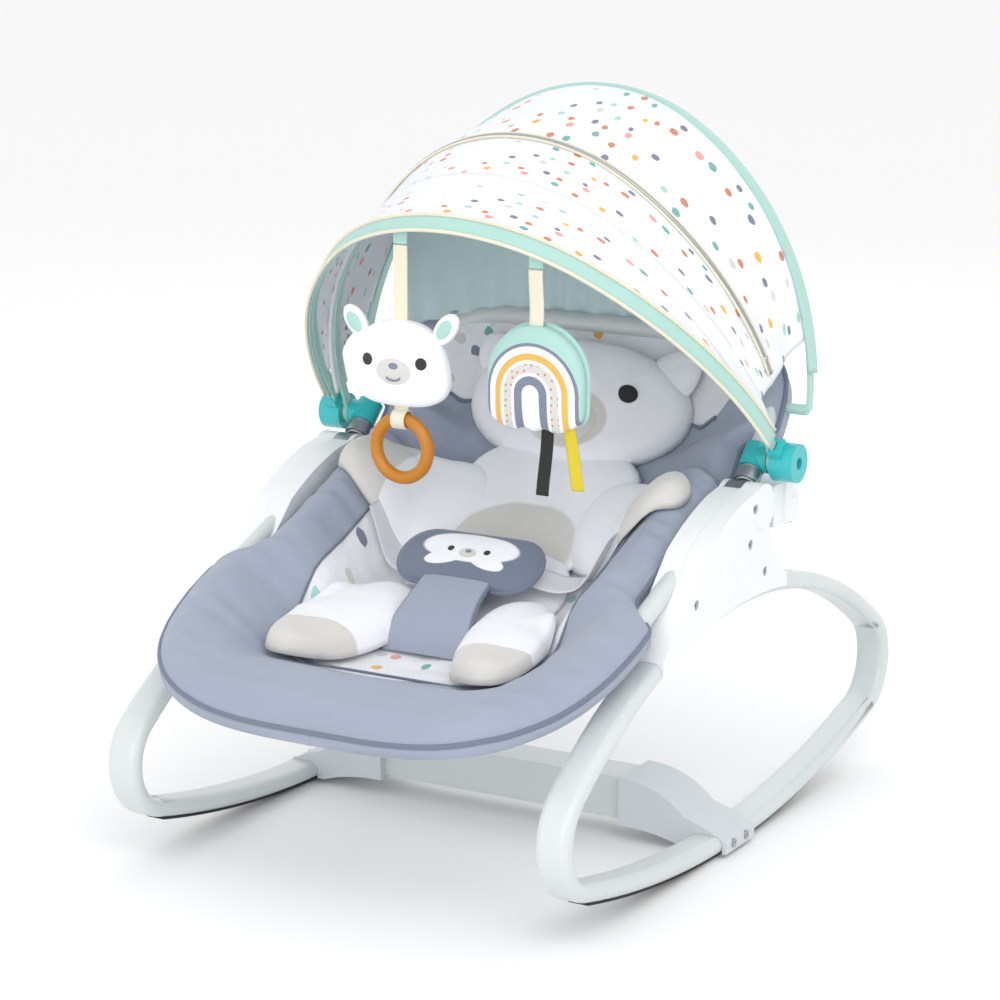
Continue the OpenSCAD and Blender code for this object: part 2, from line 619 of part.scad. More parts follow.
// Fabric between two hoops
module canopy_panel(a, b, steps) {
  loft([for (k = [0:steps]) canopy_ring(mix(a, b, k / steps))]);
}
front_spec = [front_half, front_rise, -front_lean, pod_y, pod_z];
middle_spec = [middle_half, middle_rise, -middle_lean, pod_y, pod_z];
rear_spec = [rear_half, rear_rise, rear_lean, rear_foot_y, rear_foot_z];
seam_spec = mix(middle_spec, rear_spec, 0.3);
module rear_hoop() {
  color(MINT) hoop_plane(-rear_lean, rear_foot_y, rear_foot_z) hoop_arcs(rear_half, rear_rise);
  color(MINT) for (s = SIDES) mirrored(s)
    along_x(leg_x + 2, rear_half - hoop_thick / 2 - 0.01, rear_foot_y, rear_foot_z, 5);
}
module rear_canopy() {
  color(WHITE) canopy_panel(mix(middle_spec, rear_spec, 0.31), mix(middle_spec, rear_spec, 0.975), 5);
}
module middle_hoop() {
  color(WHITE) hoop_plane(middle_lean) hoop_arcs(middle_half, middle_rise, 6);
  color(WHITE) for (s = SIDES) mirrored(s) middle_eye();
}
module middle_canopy() {
  color(WHITE) canopy_panel(mix(middle_spec, rear_spec, 0.02), seam_spec, 3);
}
module front_hoop() {
  color(MINT) hoop_plane(front_lean) hoop_arcs(front_half, front_rise, pod_r + 1);
}
module front_canopy() {
  color(WHITE) canopy_panel(mix(front_spec, middle_spec, 0.04), mix(front_spec, middle_spec, 0.96), 3);
}
clip_out = 227;
eye_in = clip_out + pass_gap;
eye_out = eye_in + 5;
pod_in = eye_out + pass_gap;
pod_out = 256;
pod_r = 18;
pivot_r = 4;
module middle_eye() {
  difference() {
    union() {
      along_x(eye_in, eye_out, pod_y, pod_z, 11);
      hoop_plane(middle_lean) translate([eye_in, 6, -hoop_wide / 2]) cube([eye_out - eye_in, 10, hoop_wide]);
    }
    along_x(eye_in - 1, eye_out + 20, pod_y, pod_z, pivot_r + run_gap);
    along_x(pod_in - pass_gap, pod_out, pod_y, pod_z, pod_r + 1);
  }
}
module pod(side) {
  color(TEAL) mirrored(side) difference() {
    union() {
      along_x(pod_in, pod_out, pod_y, pod_z, pod_r);
      hoop_plane(front_lean) translate([pod_in + 1, 2, -9]) cube([12, pod_r + 4, 18]);
    }
    along_x(pod_in - 1, pod_out - 9, pod_y, pod_z, pivot_r + run_gap);
    along_x(pod_out - 7, pod_out + 1, pod_y, pod_z, 5.5);
    hoop_plane(front_lean) translate([front_half - 2.5, pod_r + 0.8, -hoop_wide / 2 - 0.1])
      cube([5, 20, hoop_wide + 0.2]);
  }
}
module pivot_pin(side) {
  color(STEEL) mirrored(side) along_x(clip_out - 6, pod_out - 9.4, pod_y, pod_z, pivot_r);
}
module pod_clip(side) {
  color("#2fa3a8") mirrored(side) difference() {
    union() {
      back_plane() translate([leg_x, pivot_reach - 12, 0]) rotate([-90, 0, 0]) cylinder(r = 12.5, h = 24);
      along_x(leg_x, clip_out, pod_y, pod_z, 12.5);
    }
    back_plane() translate([leg_x, pivot_reach - 20, 0]) rotate([-90, 0, 0]) cylinder(r = seat_tube / 2 + run_gap, h = 40);
    along_x(clip_out - 6.2, clip_out + 1, pod_y, pod_z, pivot_r + 0.02);
  }
}

// ---- toys ----
// How far up the front hoop's plane its centreline runs above x
function hang_h(x) = let (crown = front_half * crown_of + front_rise * 0.12)
  front_rise - crown + sqrt(crown * crown - x * x);
function hang_y(x) = pod_y - hang_h(x) * sin(front_lean);
function hang_z(x) = pod_z + hang_h(x) * cos(front_lean);
bear_x = -41;
bow_x = 90;
loop_drop = 16;
bear_top = hang_z(bear_x);
bow_top = hang_z(bow_x);
bear_z = bear_top - 122;
bow_z = bow_top - 114;
ring_top = bear_z - 46;
ring_loop = ring_thick / 2 + 1.6;
module toy_loops() {
  color(MINT) for (x = [bear_x, bow_x])
    translate([x - 7, hang_y(x) - 0.7, hang_z(x) - loop_drop]) cube([14, 1.4, loop_drop - 1]);
}
module ribbon(x, y, top, length, wide = 14) {
  translate([x - wide / 2, y - 0.8, top - length]) cube([wide, 1.6, length]);
}
module toy_ribbons() {
  color("#e8dfc0") ribbon(bear_x, hang_y(bear_x), bear_top - loop_drop - toy_gap, 122 - loop_drop - toy_gap - 36);
  color("#e8dfc0") translate([bear_x, hang_y(bear_x), ring_top - ring_thick / 2 - 0.5]) rotate([0, 90, 0])
    difference() {
      union() {
        cylinder(r = ring_loop + 1.2, h = 14, center = true);
        translate([-ring_loop - 5, 0, 0]) cube([10, 1.6, 14], center = true);
      }
      cylinder(r = ring_loop, h = 16, center = true);
    }
}
module puffy(outline_r, thick) {
  hull() {
    translate([0, 0, -thick / 2]) linear_extrude(thick) offset(r = -outline_r) children();
    translate([0, 0, -thick / 5]) linear_extrude(thick * 0.4) children();
  }
}
module bear_outline() {
  hull() {
    translate([0, 8]) resize([bear_wide * 0.86, 60]) circle(r = 20, $fn = 40);
    translate([0, -28]) square([bear_wide - 2, 24], center = true);
  }
}
module facing(x, y, z) {
  translate([x, y, z]) rotate([90, 0, 0]) children();
}
module bear_toy() {
  color(WHITE) facing(bear_x, hang_y(bear_x), bear_z) {
    puffy(6, 26) bear_outline();
    for (s = SIDES) translate([s * (bear_wide / 2 - 6), 34, 0]) rotate([0, 0, -s * 38])
      puffy(3, 9) resize([18, 34]) circle(r = 12, $fn = 24);
  }
}
module teether_ring() {
  color("#c8922a") translate([bear_x, hang_y(bear_x), ring_top - ring_outer / 2]) rotate([90, 0, 0])
    rotate_extrude($fn = 72) translate([(ring_outer - ring_thick) / 2, 0]) circle(d = ring_thick);
}
module bow_outline() {
  translate([0, 2]) intersection() {
    circle(r = bow_wide / 2, $fn = 48);
    translate([0, 5]) square([bow_wide, 86], center = true);
  }
  translate([0, -24]) square([bow_wide, 44], center = true);
}
module rainbow_toy() {
  color(WHITE) facing(bow_x, hang_y(bow_x), bow_z) puffy(5, 22) bow_outline();
  color("#e8dfc0") ribbon(bow_x, hang_y(bow_x), bow_top - loop_drop - toy_gap, 114 - loop_drop - toy_gap - 48);
}
module rainbow_tails() {
  color("#2e2c2c") ribbon(bow_x + 14, hang_y(bow_x), bow_z - 44, 60, 12);
  color("#d9c53a") ribbon(bow_x + 32, hang_y(bow_x), bow_z - 44, 58, 12);
}

front_tube(-1);  // left_front_tube
front_tube(1);  // right_front_tube
rocker_tube(-1);  // left_rocker_tube
rocker_tube(1);  // right_rocker_tube
antislip_strip(-1);  // left_antislip_strip
antislip_strip(1);  // right_antislip_strip
joint_sleeves();
crossbar_tube();
crossbar_clamp(-1);  // left_crossbar_clamp
crossbar_clamp(1);  // right_crossbar_clamp
clamp_screws();
bracket_outer(-1);  // left_bracket_outer
bracket_outer(1);  // right_bracket_outer
bracket_inner(-1);  // left_bracket_inner
bracket_inner(1);  // right_bracket_inner
bracket_screws();
recline_pin(-1);  // left_recline_pin
recline_pin(1);  // right_recline_pin
seat_frame_tube();
seat_cover();
plush_body();
crotch_strap();
crotch_pad();
waist_belt(-1);  // left_waist_belt
waist_belt(1);  // right_waist_belt
buckle_housing();
buckle_button();
buckle_tongues();
recline_arm(-1);  // left_recline_arm
recline_arm(1);  // right_recline_arm
lock_housing(-1);  // left_lock_housing
lock_housing(1);  // right_lock_housing
recline_lever(-1);  // left_recline_lever
recline_lever(1);  // right_recline_lever
lever_pins();
lever_springs();
backrest_tube();
back_cover();
plush_head();
plush_arm(-1);  // plush_left_arm
plush_arm(1);  // plush_right_arm
pod_clip(-1);  // left_pod_clip
pod_clip(1);  // right_pod_clip
pivot_pin(-1);  // left_pivot_pin
pivot_pin(1);  // right_pivot_pin
rear_hoop();
rear_canopy();
middle_hoop();
middle_canopy();
front_hoop();
front_canopy();
pod(-1);  // left_pod
pod(1);  // right_pod
bear_toy();
teether_ring();
rainbow_toy();
rainbow_tails();
toy_loops();
toy_ribbons();
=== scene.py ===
"""Looks for the baby bouncer seat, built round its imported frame.

Every length in the classes is in millimetres in the part's own frame: +X to the right-hand loop, +Y to the
head end, +Z up. Meshes are written in metres.
"""

from __future__ import annotations

import json
import logging
import math
from dataclasses import astuple, dataclass
from enum import Enum
from functools import partial
from typing import Callable, Sequence

import bmesh
import bpy
from mathutils import Matrix, Vector, noise

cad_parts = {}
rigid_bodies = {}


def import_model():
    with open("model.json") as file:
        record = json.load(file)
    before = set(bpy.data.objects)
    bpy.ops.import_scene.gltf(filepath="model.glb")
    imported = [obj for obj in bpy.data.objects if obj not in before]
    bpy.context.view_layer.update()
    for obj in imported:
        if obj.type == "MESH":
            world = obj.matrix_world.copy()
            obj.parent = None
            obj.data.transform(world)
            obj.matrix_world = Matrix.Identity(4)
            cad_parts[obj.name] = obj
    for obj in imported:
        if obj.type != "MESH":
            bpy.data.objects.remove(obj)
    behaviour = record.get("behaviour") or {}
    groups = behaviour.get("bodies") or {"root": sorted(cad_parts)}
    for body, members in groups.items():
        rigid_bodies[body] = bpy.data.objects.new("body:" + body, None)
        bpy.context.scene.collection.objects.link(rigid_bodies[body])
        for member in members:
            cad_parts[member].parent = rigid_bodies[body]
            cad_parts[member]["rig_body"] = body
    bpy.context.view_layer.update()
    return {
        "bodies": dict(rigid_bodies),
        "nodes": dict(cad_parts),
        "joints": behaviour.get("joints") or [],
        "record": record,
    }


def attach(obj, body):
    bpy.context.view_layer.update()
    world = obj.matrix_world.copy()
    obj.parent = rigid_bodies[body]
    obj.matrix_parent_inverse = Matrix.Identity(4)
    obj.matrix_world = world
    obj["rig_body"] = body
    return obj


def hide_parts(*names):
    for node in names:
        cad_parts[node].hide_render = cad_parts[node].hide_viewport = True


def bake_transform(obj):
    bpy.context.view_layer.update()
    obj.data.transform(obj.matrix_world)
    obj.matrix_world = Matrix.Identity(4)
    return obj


LOG = logging.getLogger("bouncer")
MM = 0.001
SIDES = ((-1, "left"), (1, "right"))
SIDE_SHARE = 0.32  # share of a hoop's path that each of its sides takes
CORNER_POWER = 3.1  # how square the covers' rounded ends are
PILE = {"pile": 0.35, "fuzz": 0.5, "crease": 0.5}
CUSHION = {"crease": 0.8, "crease_cells": 22.0}
Colour = tuple[float, float, float]
Spot = tuple[float, float, float]
Flat = tuple[float, float]
Ride = tuple[str, str, Spot, Spot]
Outline = Callable[[float], float]
Place = Callable[[float, float, float], Vector]
Table = Sequence[tuple[float, float]]


# ---------------------------------------------------------------- numbers


def srgb(red: float, green: float, blue: float) -> Colour:
    """Returns the linear colour of 0-255 display values."""
    shares = (red / 255, green / 255, blue / 255)
    return tuple(c / 12.92 if c <= 0.04045 else ((c + 0.055) / 1.055) ** 2.4 for c in shares)


def blend_of(a: float, b: float, t: float) -> float:
    """Returns the value a share t of the way from a to b."""
    return a + (b - a) * t


def ease(t: float) -> float:
    """Returns a smooth step of t, held between 0 and 1."""
    t = max(0.0, min(1.0, t))
    return t * t * (3 - 2 * t)


def curve_through(table: Table, x: float) -> float:
    """Reads a table of (x, value) pairs along a smooth curve.

    Args:
        table: Pairs in rising order of x.
        x: Where to read.

    Returns:
        The value at x, held at the ends.
    """
    if x <= table[0][0]:
        return table[0][1]
    if x >= table[-1][0]:
        return table[-1][1]
    i = next(k for k in range(len(table) - 1) if x < table[k + 1][0])
    (x0, y0), (x1, y1) = table[i], table[i + 1]
    chord = (y1 - y0) / (x1 - x0)

    def slope(k: int) -> float:
        """Returns the curve's slope at pair k, flat at a peak."""
        if k <= 0 or k >= len(table) - 1:
            return chord
        a = (table[k][1] - table[k - 1][1]) / (table[k][0] - table[k - 1][0])
        b = (table[k + 1][1] - table[k][1]) / (table[k + 1][0] - table[k][0])
        return 0.0 if a * b <= 0 else 2 * a * b / (a + b)

    t, h = (x - x0) / (x1 - x0), x1 - x0
    t2, t3 = t * t, t * t * t
    return (
        (2 * t3 - 3 * t2 + 1) * y0 + (t3 - 2 * t2 + t) * h * slope(i)
        + (-2 * t3 + 3 * t2) * y1 + (t3 - t2) * h * slope(i + 1)
    )


def ripple(x: float, y: float, z: float = 0.0) -> float:
    """Returns smooth repeatable noise between about -1 and 1."""
    return noise.noise(Vector((x, y, z)))


def steps(start: float, stop: float, count: int) -> list[float]:
    """Returns evenly spaced values from start to stop, one more than count."""
    return [start + (stop - start) * i / count for i in range(count + 1)]


def length_of(path: Sequence[Vector]) -> float:
    """Returns a path's length."""
    return sum((after - point).length for point, after in zip(path, path[1:]))


# ---------------------------------------------------------------- shader writing


class Wire:
    """A shader socket that takes part in Python arithmetic."""

    def __init__(self, bench: "Bench", socket: bpy.types.NodeSocket) -> None:
        """Keeps the socket and the bench that it is on."""
        self.bench, self.socket = bench, socket

    def __add__(self, other: "Wire | float") -> "Wire":
        """Returns self + other."""
        return self.bench.sum("ADD", self, other)

    def __sub__(self, other: "Wire | float") -> "Wire":
        """Returns self - other."""
        return self.bench.sum("SUBTRACT", self, other)

    def __mul__(self, other: "Wire | float") -> "Wire":
        """Returns self x other."""
        return self.bench.sum("MULTIPLY", self, other)

    def __truediv__(self, other: "Wire | float") -> "Wire":
        """Returns self / other."""
        return self.bench.sum("DIVIDE", self, other)

    def __lt__(self, other: "Wire | float") -> "Wire":
        """Returns 1 where self is under other."""
        return self.bench.sum("LESS_THAN", self, other)

    def root(self) -> "Wire":
        """Returns the square root."""
        return self.bench.sum("SQRT", self)

    def size(self) -> "Wire":
        """Returns the absolute value."""
        return self.bench.sum("ABSOLUTE", self)

    def most(self, other: "Wire | float") -> "Wire":
        """Returns the larger of the two."""
        return self.bench.sum("MAXIMUM", self, other)


class Bench:
    """One material being wired up."""

    def __init__(self, name: str) -> None:
        """Starts an empty material with a Principled shader."""
        self.material = bpy.data.materials.new(name)
        self.material.use_nodes = True
        self.tree = self.material.node_tree
        self.tree.nodes.clear()
        self.shader = self.tree.nodes.new("ShaderNodeBsdfPrincipled")
        out = self.tree.nodes.new("ShaderNodeOutputMaterial")
        self.tree.links.new(self.shader.outputs[0], out.inputs[0])

    def feed(self, socket: bpy.types.NodeSocket, value: object) -> None:
        """Links or sets one input socket."""
        if isinstance(value, Wire):
            self.tree.links.new(value.socket, socket)
        elif isinstance(value, tuple) and socket.type == "RGBA":
            socket.default_value = (*value, 1.0)
        else:
            socket.default_value = value

    def node(self, kind: str, settings: dict | None = None, inputs: dict | None = None,
             out: int | str = 0) -> Wire:
        """Adds a node.

        Args:
            kind: The node's type.
            settings: Properties set before anything is linked.
            inputs: Values or wires by socket name or index.
            out: The output wanted.

        Returns:
            The wire of that output.
        """
        made = self.tree.nodes.new(kind)
        for key, value in (settings or {}).items():
            setattr(made, key, value)
        for key, value in (inputs or {}).items():
            self.feed(made.inputs[key], value)
        return Wire(self, made.outputs[out])

    def sum(self, operation: str, *values: "Wire | float") -> Wire:
        """Returns a Math node's result."""
        return self.node("ShaderNodeMath", {"operation": operation}, dict(enumerate(values)))

    def mix(self, share: "Wire | float", a: "Wire | Colour", b: "Wire | Colour") -> Wire:
        """Returns colour a where share is 0 and b where it is 1."""
        return self.node("ShaderNodeMix", {"data_type": "RGBA"}, {0: share, 6: a, 7: b}, 2)

    def spot(self) -> Wire:
        """Returns the Object coordinates."""
        return self.node("ShaderNodeTexCoord", out="Object")

    def plan(self) -> Wire:
        """Returns the piece's own flat coordinates, in metres."""
        return self.node("ShaderNodeUVMap", {"uv_map": "plan"})

    def axes(self, vector: Wire) -> tuple[Wire, Wire, Wire]:
        """Returns a vector's three parts."""
        made = self.tree.nodes.new("ShaderNodeSeparateXYZ")
        self.feed(made.inputs[0], vector)
        return tuple(Wire(self, o) for o in made.outputs)

    def cloud(self, where: Wire, scale: float, detail: float = 2.0, out: int = 0) -> Wire:
        """Returns soft noise at this many cells a metre: output 0 is its strength, 1 its colour."""
        return self.node("ShaderNodeTexNoise", {}, {"Vector": where, "Scale": scale, "Detail": detail}, out)

    def cells(self, where: Wire, scale: float, uneven: float) -> tuple[Wire, Wire]:
        """Returns the distance to the nearest of scattered points, and that point's own random colour."""
        made = self.tree.nodes.new("ShaderNodeTexVoronoi")
        made.voronoi_dimensions = "2D"
        for key, value in (("Vector", where), ("Scale", scale), ("Randomness", uneven)):
            self.feed(made.inputs[key], value)
        return Wire(self, made.outputs["Distance"]), Wire(self, made.outputs["Color"])

    def ramp(self, value: Wire, low: float, high: float, falling: bool = False, kind: str = "LINEAR") -> Wire:
        """Returns 0 where the value is under low and 1 where it is over high, or the reverse when falling."""
        start, end = (1.0, 0.0) if falling else (0.0, 1.0)
        inputs = {0: value, 1: low, 2: high, 3: start, 4: end}
        return self.node("ShaderNodeMapRange", {"interpolation_type": kind}, inputs)

    def oval(self, where: Wire, x: float, y: float, rx: float, ry: float, turn: float = 0.0,
             soft: float = 0.05) -> Wire:
        """Returns 1 inside an oval on the flat coordinates and 0 outside.

        Args:
            where: Flat coordinates in metres.
            x: Centre across, mm.
            y: Centre up, mm.
            rx: Half width, mm.
            ry: Half height, mm.
            turn: Turn in degrees.
            soft: Width of the edge, as a share of the radius.

        Returns:
            The mask.
        """
        px, py, _ = self.axes(where)
        dx, dy = px - x * MM, py - y * MM
        c, s = math.cos(math.radians(turn)), math.sin(math.radians(turn))
        u, v = (dx * c + dy * s) / (rx * MM), (dy * c - dx * s) / (ry * MM)
        return self.ramp((u * u + v * v).root(), 1 - soft, 1 + soft, True, "SMOOTHSTEP")

    def panel(self, where: Wire, box: tuple[float, float, float, float], corner: float,
              soft: float = 0.6) -> Wire:
        """Returns 1 inside a round-cornered rectangle (x0, y0, x1, y1) in mm on the flat coordinates."""
        px, py, _ = self.axes(where)
        x0, y0, x1, y1 = box
        u = (px - (x0 + x1) / 2 * MM).size() - ((x1 - x0) / 2 - corner) * MM
        v = (py - (y0 + y1) / 2 * MM).size() - ((y1 - y0) / 2 - corner) * MM
        u, v = u.most(0.0), v.most(0.0)
        reach = (u * u + v * v).root()
        return self.ramp(reach, (corner - soft) * MM, (corner + soft) * MM, True, "SMOOTHSTEP")

    def weave(self, where: Wire, pitch: float) -> Wire:
        """Returns the height of crossing threads this many mm apart."""
        px, py, pz = self.axes(where)
        k = 2 * math.pi / (pitch * MM)
        warp = self.sum("SINE", (px + pz * 0.7) * k)
        weft = self.sum("SINE", (py + pz * 0.7) * k)
        return warp * weft

    def bump(self, height: Wire, depth: float, under: Wire | None = None) -> Wire:
        """Returns a normal from a height, depth mm deep, over another normal."""
        inputs: dict = {"Height": height, "Distance": depth * MM, "Strength": 1.0}
        if under:
            inputs["Normal"] = under
        return self.node("ShaderNodeBump", {}, inputs)


# ---------------------------------------------------------------- finishes


class Shade(Enum):
    """The object's colours."""

    FRAME = srgb(208, 214, 214)
    BRACKET = srgb(236, 239, 241)
    CLAMP = srgb(206, 211, 215)
    GREY = srgb(157, 165, 182)
    GREY_DARK = srgb(112, 121, 140)
    WHITE = srgb(246, 247, 250)
    SHELL = srgb(240, 241, 244)
    MINT = srgb(174, 214, 204)
    CURTAIN = srgb(205, 226, 226)
    BEIGE = srgb(216, 213, 208)
    TEAL = srgb(52, 184, 188)
    LEVER = srgb(98, 205, 192)
    AMBER = srgb(188, 118, 12)
    CREAM = srgb(232, 226, 204)
    YELLOW = srgb(222, 198, 40)
    BLACK = srgb(38, 36, 36)
    RUBBER = srgb(34, 36, 38)
    STEEL = srgb(176, 180, 184)
    WEBBING = srgb(232, 232, 236)
    MUSTARD = srgb(232, 184, 96)
    PINK = srgb(238, 168, 158)
    SLATE = srgb(128, 134, 152)
    SAGE = srgb(120, 178, 172)
    RUST = srgb(208, 138, 108)


@dataclass(frozen=True)
class HardFinish:
    """Enamel, moulded plastic, rubber or bare metal."""

    name: str
    shade: Shade
    rough: float = 0.4
    metal: float = 0.0
    coat: float = 0.0
    grain: float = 0.03
    grain_cells: float = 900.0

    def make(self) -> bpy.types.Material:
        """Returns the material: slight tone drift, uneven gloss and a fine skin."""
        b = Bench(self.name)
        spot = b.spot()
        drift = b.cloud(spot, 9.0, 3.0)
        tone = tuple(c * 0.93 for c in self.shade.value)
        b.feed(b.shader.inputs["Base Color"], b.mix(drift, self.shade.value, tone))
        b.feed(b.shader.inputs["Roughness"], b.cloud(spot, 60.0) * 0.12 + (self.rough - 0.06))
        b.feed(b.shader.inputs["Metallic"], self.metal)
        b.feed(b.shader.inputs["Coat Weight"], self.coat)
        b.feed(b.shader.inputs["Coat Roughness"], 0.12)
        b.feed(b.shader.inputs["Normal"], b.bump(b.cloud(spot, self.grain_cells, 2.0), self.grain))
        return b.material


@dataclass(frozen=True)
class Dots:
    """Scattered small ovals in several colours."""

    pitch: float = 27.0
    radius: float = 5.2
    kept: float = 0.52
    uneven: float = 0.72
    wobble: float = 3.2
    wobble_cells: float = 160.0
    inks: tuple[Shade, ...] = (
        Shade.MUSTARD, Shade.PINK, Shade.SLATE, Shade.MINT, Shade.RUST, Shade.SAGE, Shade.BEIGE,
    )

    def over(self, b: Bench, where: Wire, ground: Wire | Colour) -> Wire:
        """Returns the ground colour with the dots printed on it."""
        push = b.cloud(where, self.wobble_cells, 1.0, 1)
        shift = b.node("ShaderNodeVectorMath", {"operation": "SCALE"}, {0: push, 3: self.wobble * MM})
        moved = b.node("ShaderNodeVectorMath", {"operation": "ADD"}, {0: where, 1: shift})
        distance, colour = b.cells(moved, 1 / (self.pitch * MM), self.uneven)
        luck = b.axes(colour)
        ink = b.tree.nodes.new("ShaderNodeValToRGB")
        ink.color_ramp.interpolation = "CONSTANT"
        while len(ink.color_ramp.elements) < len(self.inks):
            ink.color_ramp.elements.new(0.5)
        for i, (stop, shade) in enumerate(zip(ink.color_ramp.elements, self.inks)):
            stop.position = i / len(self.inks)
            stop.color = (*shade.value, 1.0)
        b.feed(ink.inputs[0], luck[0])
        reach = (luck[1] * 0.35 + 0.75) * (self.radius / self.pitch)
        inside = (distance < reach) * (luck[2] < self.kept)
        return b.mix(inside, ground, Wire(b, ink.outputs[0]))


@dataclass(frozen=True)
class ClothFinish:
    """A woven or knitted fabric, plain or printed."""

    name: str
    shade: Shade
    thread: float = 1.1
    fuzz: float = 0.25
    crease: float = 0.5
    crease_cells: float = 28.0
    pile: float = 0.0
    printed: Callable[[Bench, Wire, "Wire | Colour"], Wire] | None = None

    def make(self) -> bpy.types.Material:
        """Returns the material: tone drift, print, threads or pile, and soft creases."""
        b = Bench(self.name)
        spot, plan = b.spot(), b.plan()
        base: Wire | Colour = self.shade.value
        if self.printed:
            base = self.printed(b, plan, base)
        times = {"data_type": "RGBA", "blend_type": "MULTIPLY"}
        dark = b.node("ShaderNodeMix", times, {0: 1.0, 6: base, 7: (0.86, 0.87, 0.90)}, 2)
        drift = b.cloud(spot, 14.0, 3.0) * 0.7 + b.cloud(spot, 420.0, 2.0) * 0.3
        b.feed(b.shader.inputs["Base Color"], b.mix(drift, base, dark))
        b.feed(b.shader.inputs["Roughness"], b.cloud(spot, 90.0) * 0.15 + 0.72)
        b.feed(b.shader.inputs["Sheen Weight"], self.fuzz)
        b.feed(b.shader.inputs["Sheen Roughness"], 0.5)
        fold = b.bump(b.cloud(spot, self.crease_cells, 3.0), self.crease * 6)
        if self.pile:
            skin = b.bump(b.cloud(spot, 1500.0, 3.0), self.pile, fold)
        else:
            skin = b.bump(b.weave(spot, self.thread), self.thread * 0.06, fold)
        b.feed(b.shader.inputs["Normal"], skin)
        return b.material


def sitter_print(b: Bench, plan: Wire, ground: Wire | Colour) -> Wire:
    """Returns grey cloth with the dotted seat panel let into it."""
    liner = Dots().over(b, plan, Shade.SHELL.value)
    return b.mix(b.panel(plan, (-136, -232, 136, 160), 70), ground, liner)


def headrest_print(b: Bench, plan: Wire, ground: Wire | Colour) -> Wire:
    """Returns grey cloth with the dotted headrest panel let into it."""
    liner = Dots().over(b, plan, Shade.SHELL.value)
    return b.mix(b.panel(plan, (-170, 96, 170, 178), 34), ground, liner)


def dotted_print(b: Bench, plan: Wire, ground: Wire | Colour) -> Wire:
    """Returns cloth printed with dots all over."""
    return Dots().over(b, plan, ground)


def head_print(b: Bench, plan: Wire, ground: Wire | Colour) -> Wire:
    """Returns white pile with a beige patch round the muzzle."""
    return b.mix(b.oval(plan, 0, -22, 44, 28), ground, Shade.BEIGE.value)


def muzzle_print(b: Bench, plan: Wire, ground: Wire | Colour) -> Wire:
    """Returns beige pile with a nose."""
    return b.mix(b.oval(plan, 0, 11, 12, 6), ground, Shade.SLATE.value)


def belly_print(b: Bench, plan: Wire, ground: Wire | Colour) -> Wire:
    """Returns white pile with a beige belly patch."""
    return b.mix(b.oval(plan, 0, -36, 68, 30), ground, Shade.BEIGE.value)


def paw_print(b: Bench, plan: Wire, ground: Wire | Colour) -> Wire:
    """Returns white pile with a beige outer third."""
    px, _, _ = b.axes(plan)
    return b.mix(b.ramp(px, 0.012, 0.0135), ground, Shade.BEIGE.value)


def foot_print(b: Bench, plan: Wire, ground: Wire | Colour) -> Wire:
    """Returns white pile with a beige sole at the foot end."""
    _, py, _ = b.axes(plan)
    return b.mix(b.ramp(py, -0.036, -0.0345, falling=True), ground, Shade.BEIGE.value)


def bear_print(b: Bench, plan: Wire, ground: Wire | Colour) -> Wire:
    """Returns the small bear's face."""
    face = b.mix(b.oval(plan, 0, -7, 18, 12), ground, Shade.BEIGE.value)
    face = b.mix(b.oval(plan, 0, -2, 5, 3), face, Shade.SLATE.value)
    for side in (-1, 1):
        face = b.mix(b.oval(plan, side * 28, 2, 5.6, 5.6), face, Shade.BLACK.value)
    return face


def pad_print(b: Bench, plan: Wire, ground: Wire | Colour) -> Wire:
    """Returns grey cloth with a small white face on it."""
    face = b.mix(b.oval(plan, 0, 9, 50, 17), ground, Shade.WHITE.value)
    for side in (-1, 1):
        face = b.mix(b.oval(plan, side * 22, -5, 20, 8, side * -14), face, Shade.WHITE.value)
    face = b.mix(b.oval(plan, 0, 2, 9, 5.5), face, Shade.BEIGE.value)
    face = b.mix(b.oval(plan, 0, 4, 3.2, 2.0), face, Shade.SLATE.value)
    for side in (-1, 1):
        face = b.mix(b.oval(plan, side * 19, 5, 3.4, 3.0), face, Shade.BLACK.value)
    return face


def rainbow_print(b: Bench, plan: Wire, ground: Wire | Colour) -> Wire:
    """Returns nested arches: mint edge, slate, white, mustard, white, dotted beige, white, slate, white."""
    px, py, _ = b.axes(plan)
    up = (py + 0.012).most(0.0)
    reach = (px * px + up * up).root()
    distance, _ = b.cells(plan, 150.0, 0.35)
    speckled = b.mix(distance < 0.17, Shade.BEIGE.value, Shade.RUST.value)
    white, slate = Shade.WHITE.value, Shade.SLATE.value
    bands = (
        (0.0455, slate), (0.0425, white), (0.0365, Shade.MUSTARD.value), (0.0305, white),
        (0.0275, speckled), (0.0195, white), (0.0165, slate), (0.0085, white),
    )
    face: Wire | Colour = Shade.MINT.value
    for radius, ink in bands:
        face = b.mix(reach < radius, face, ink)
    return face


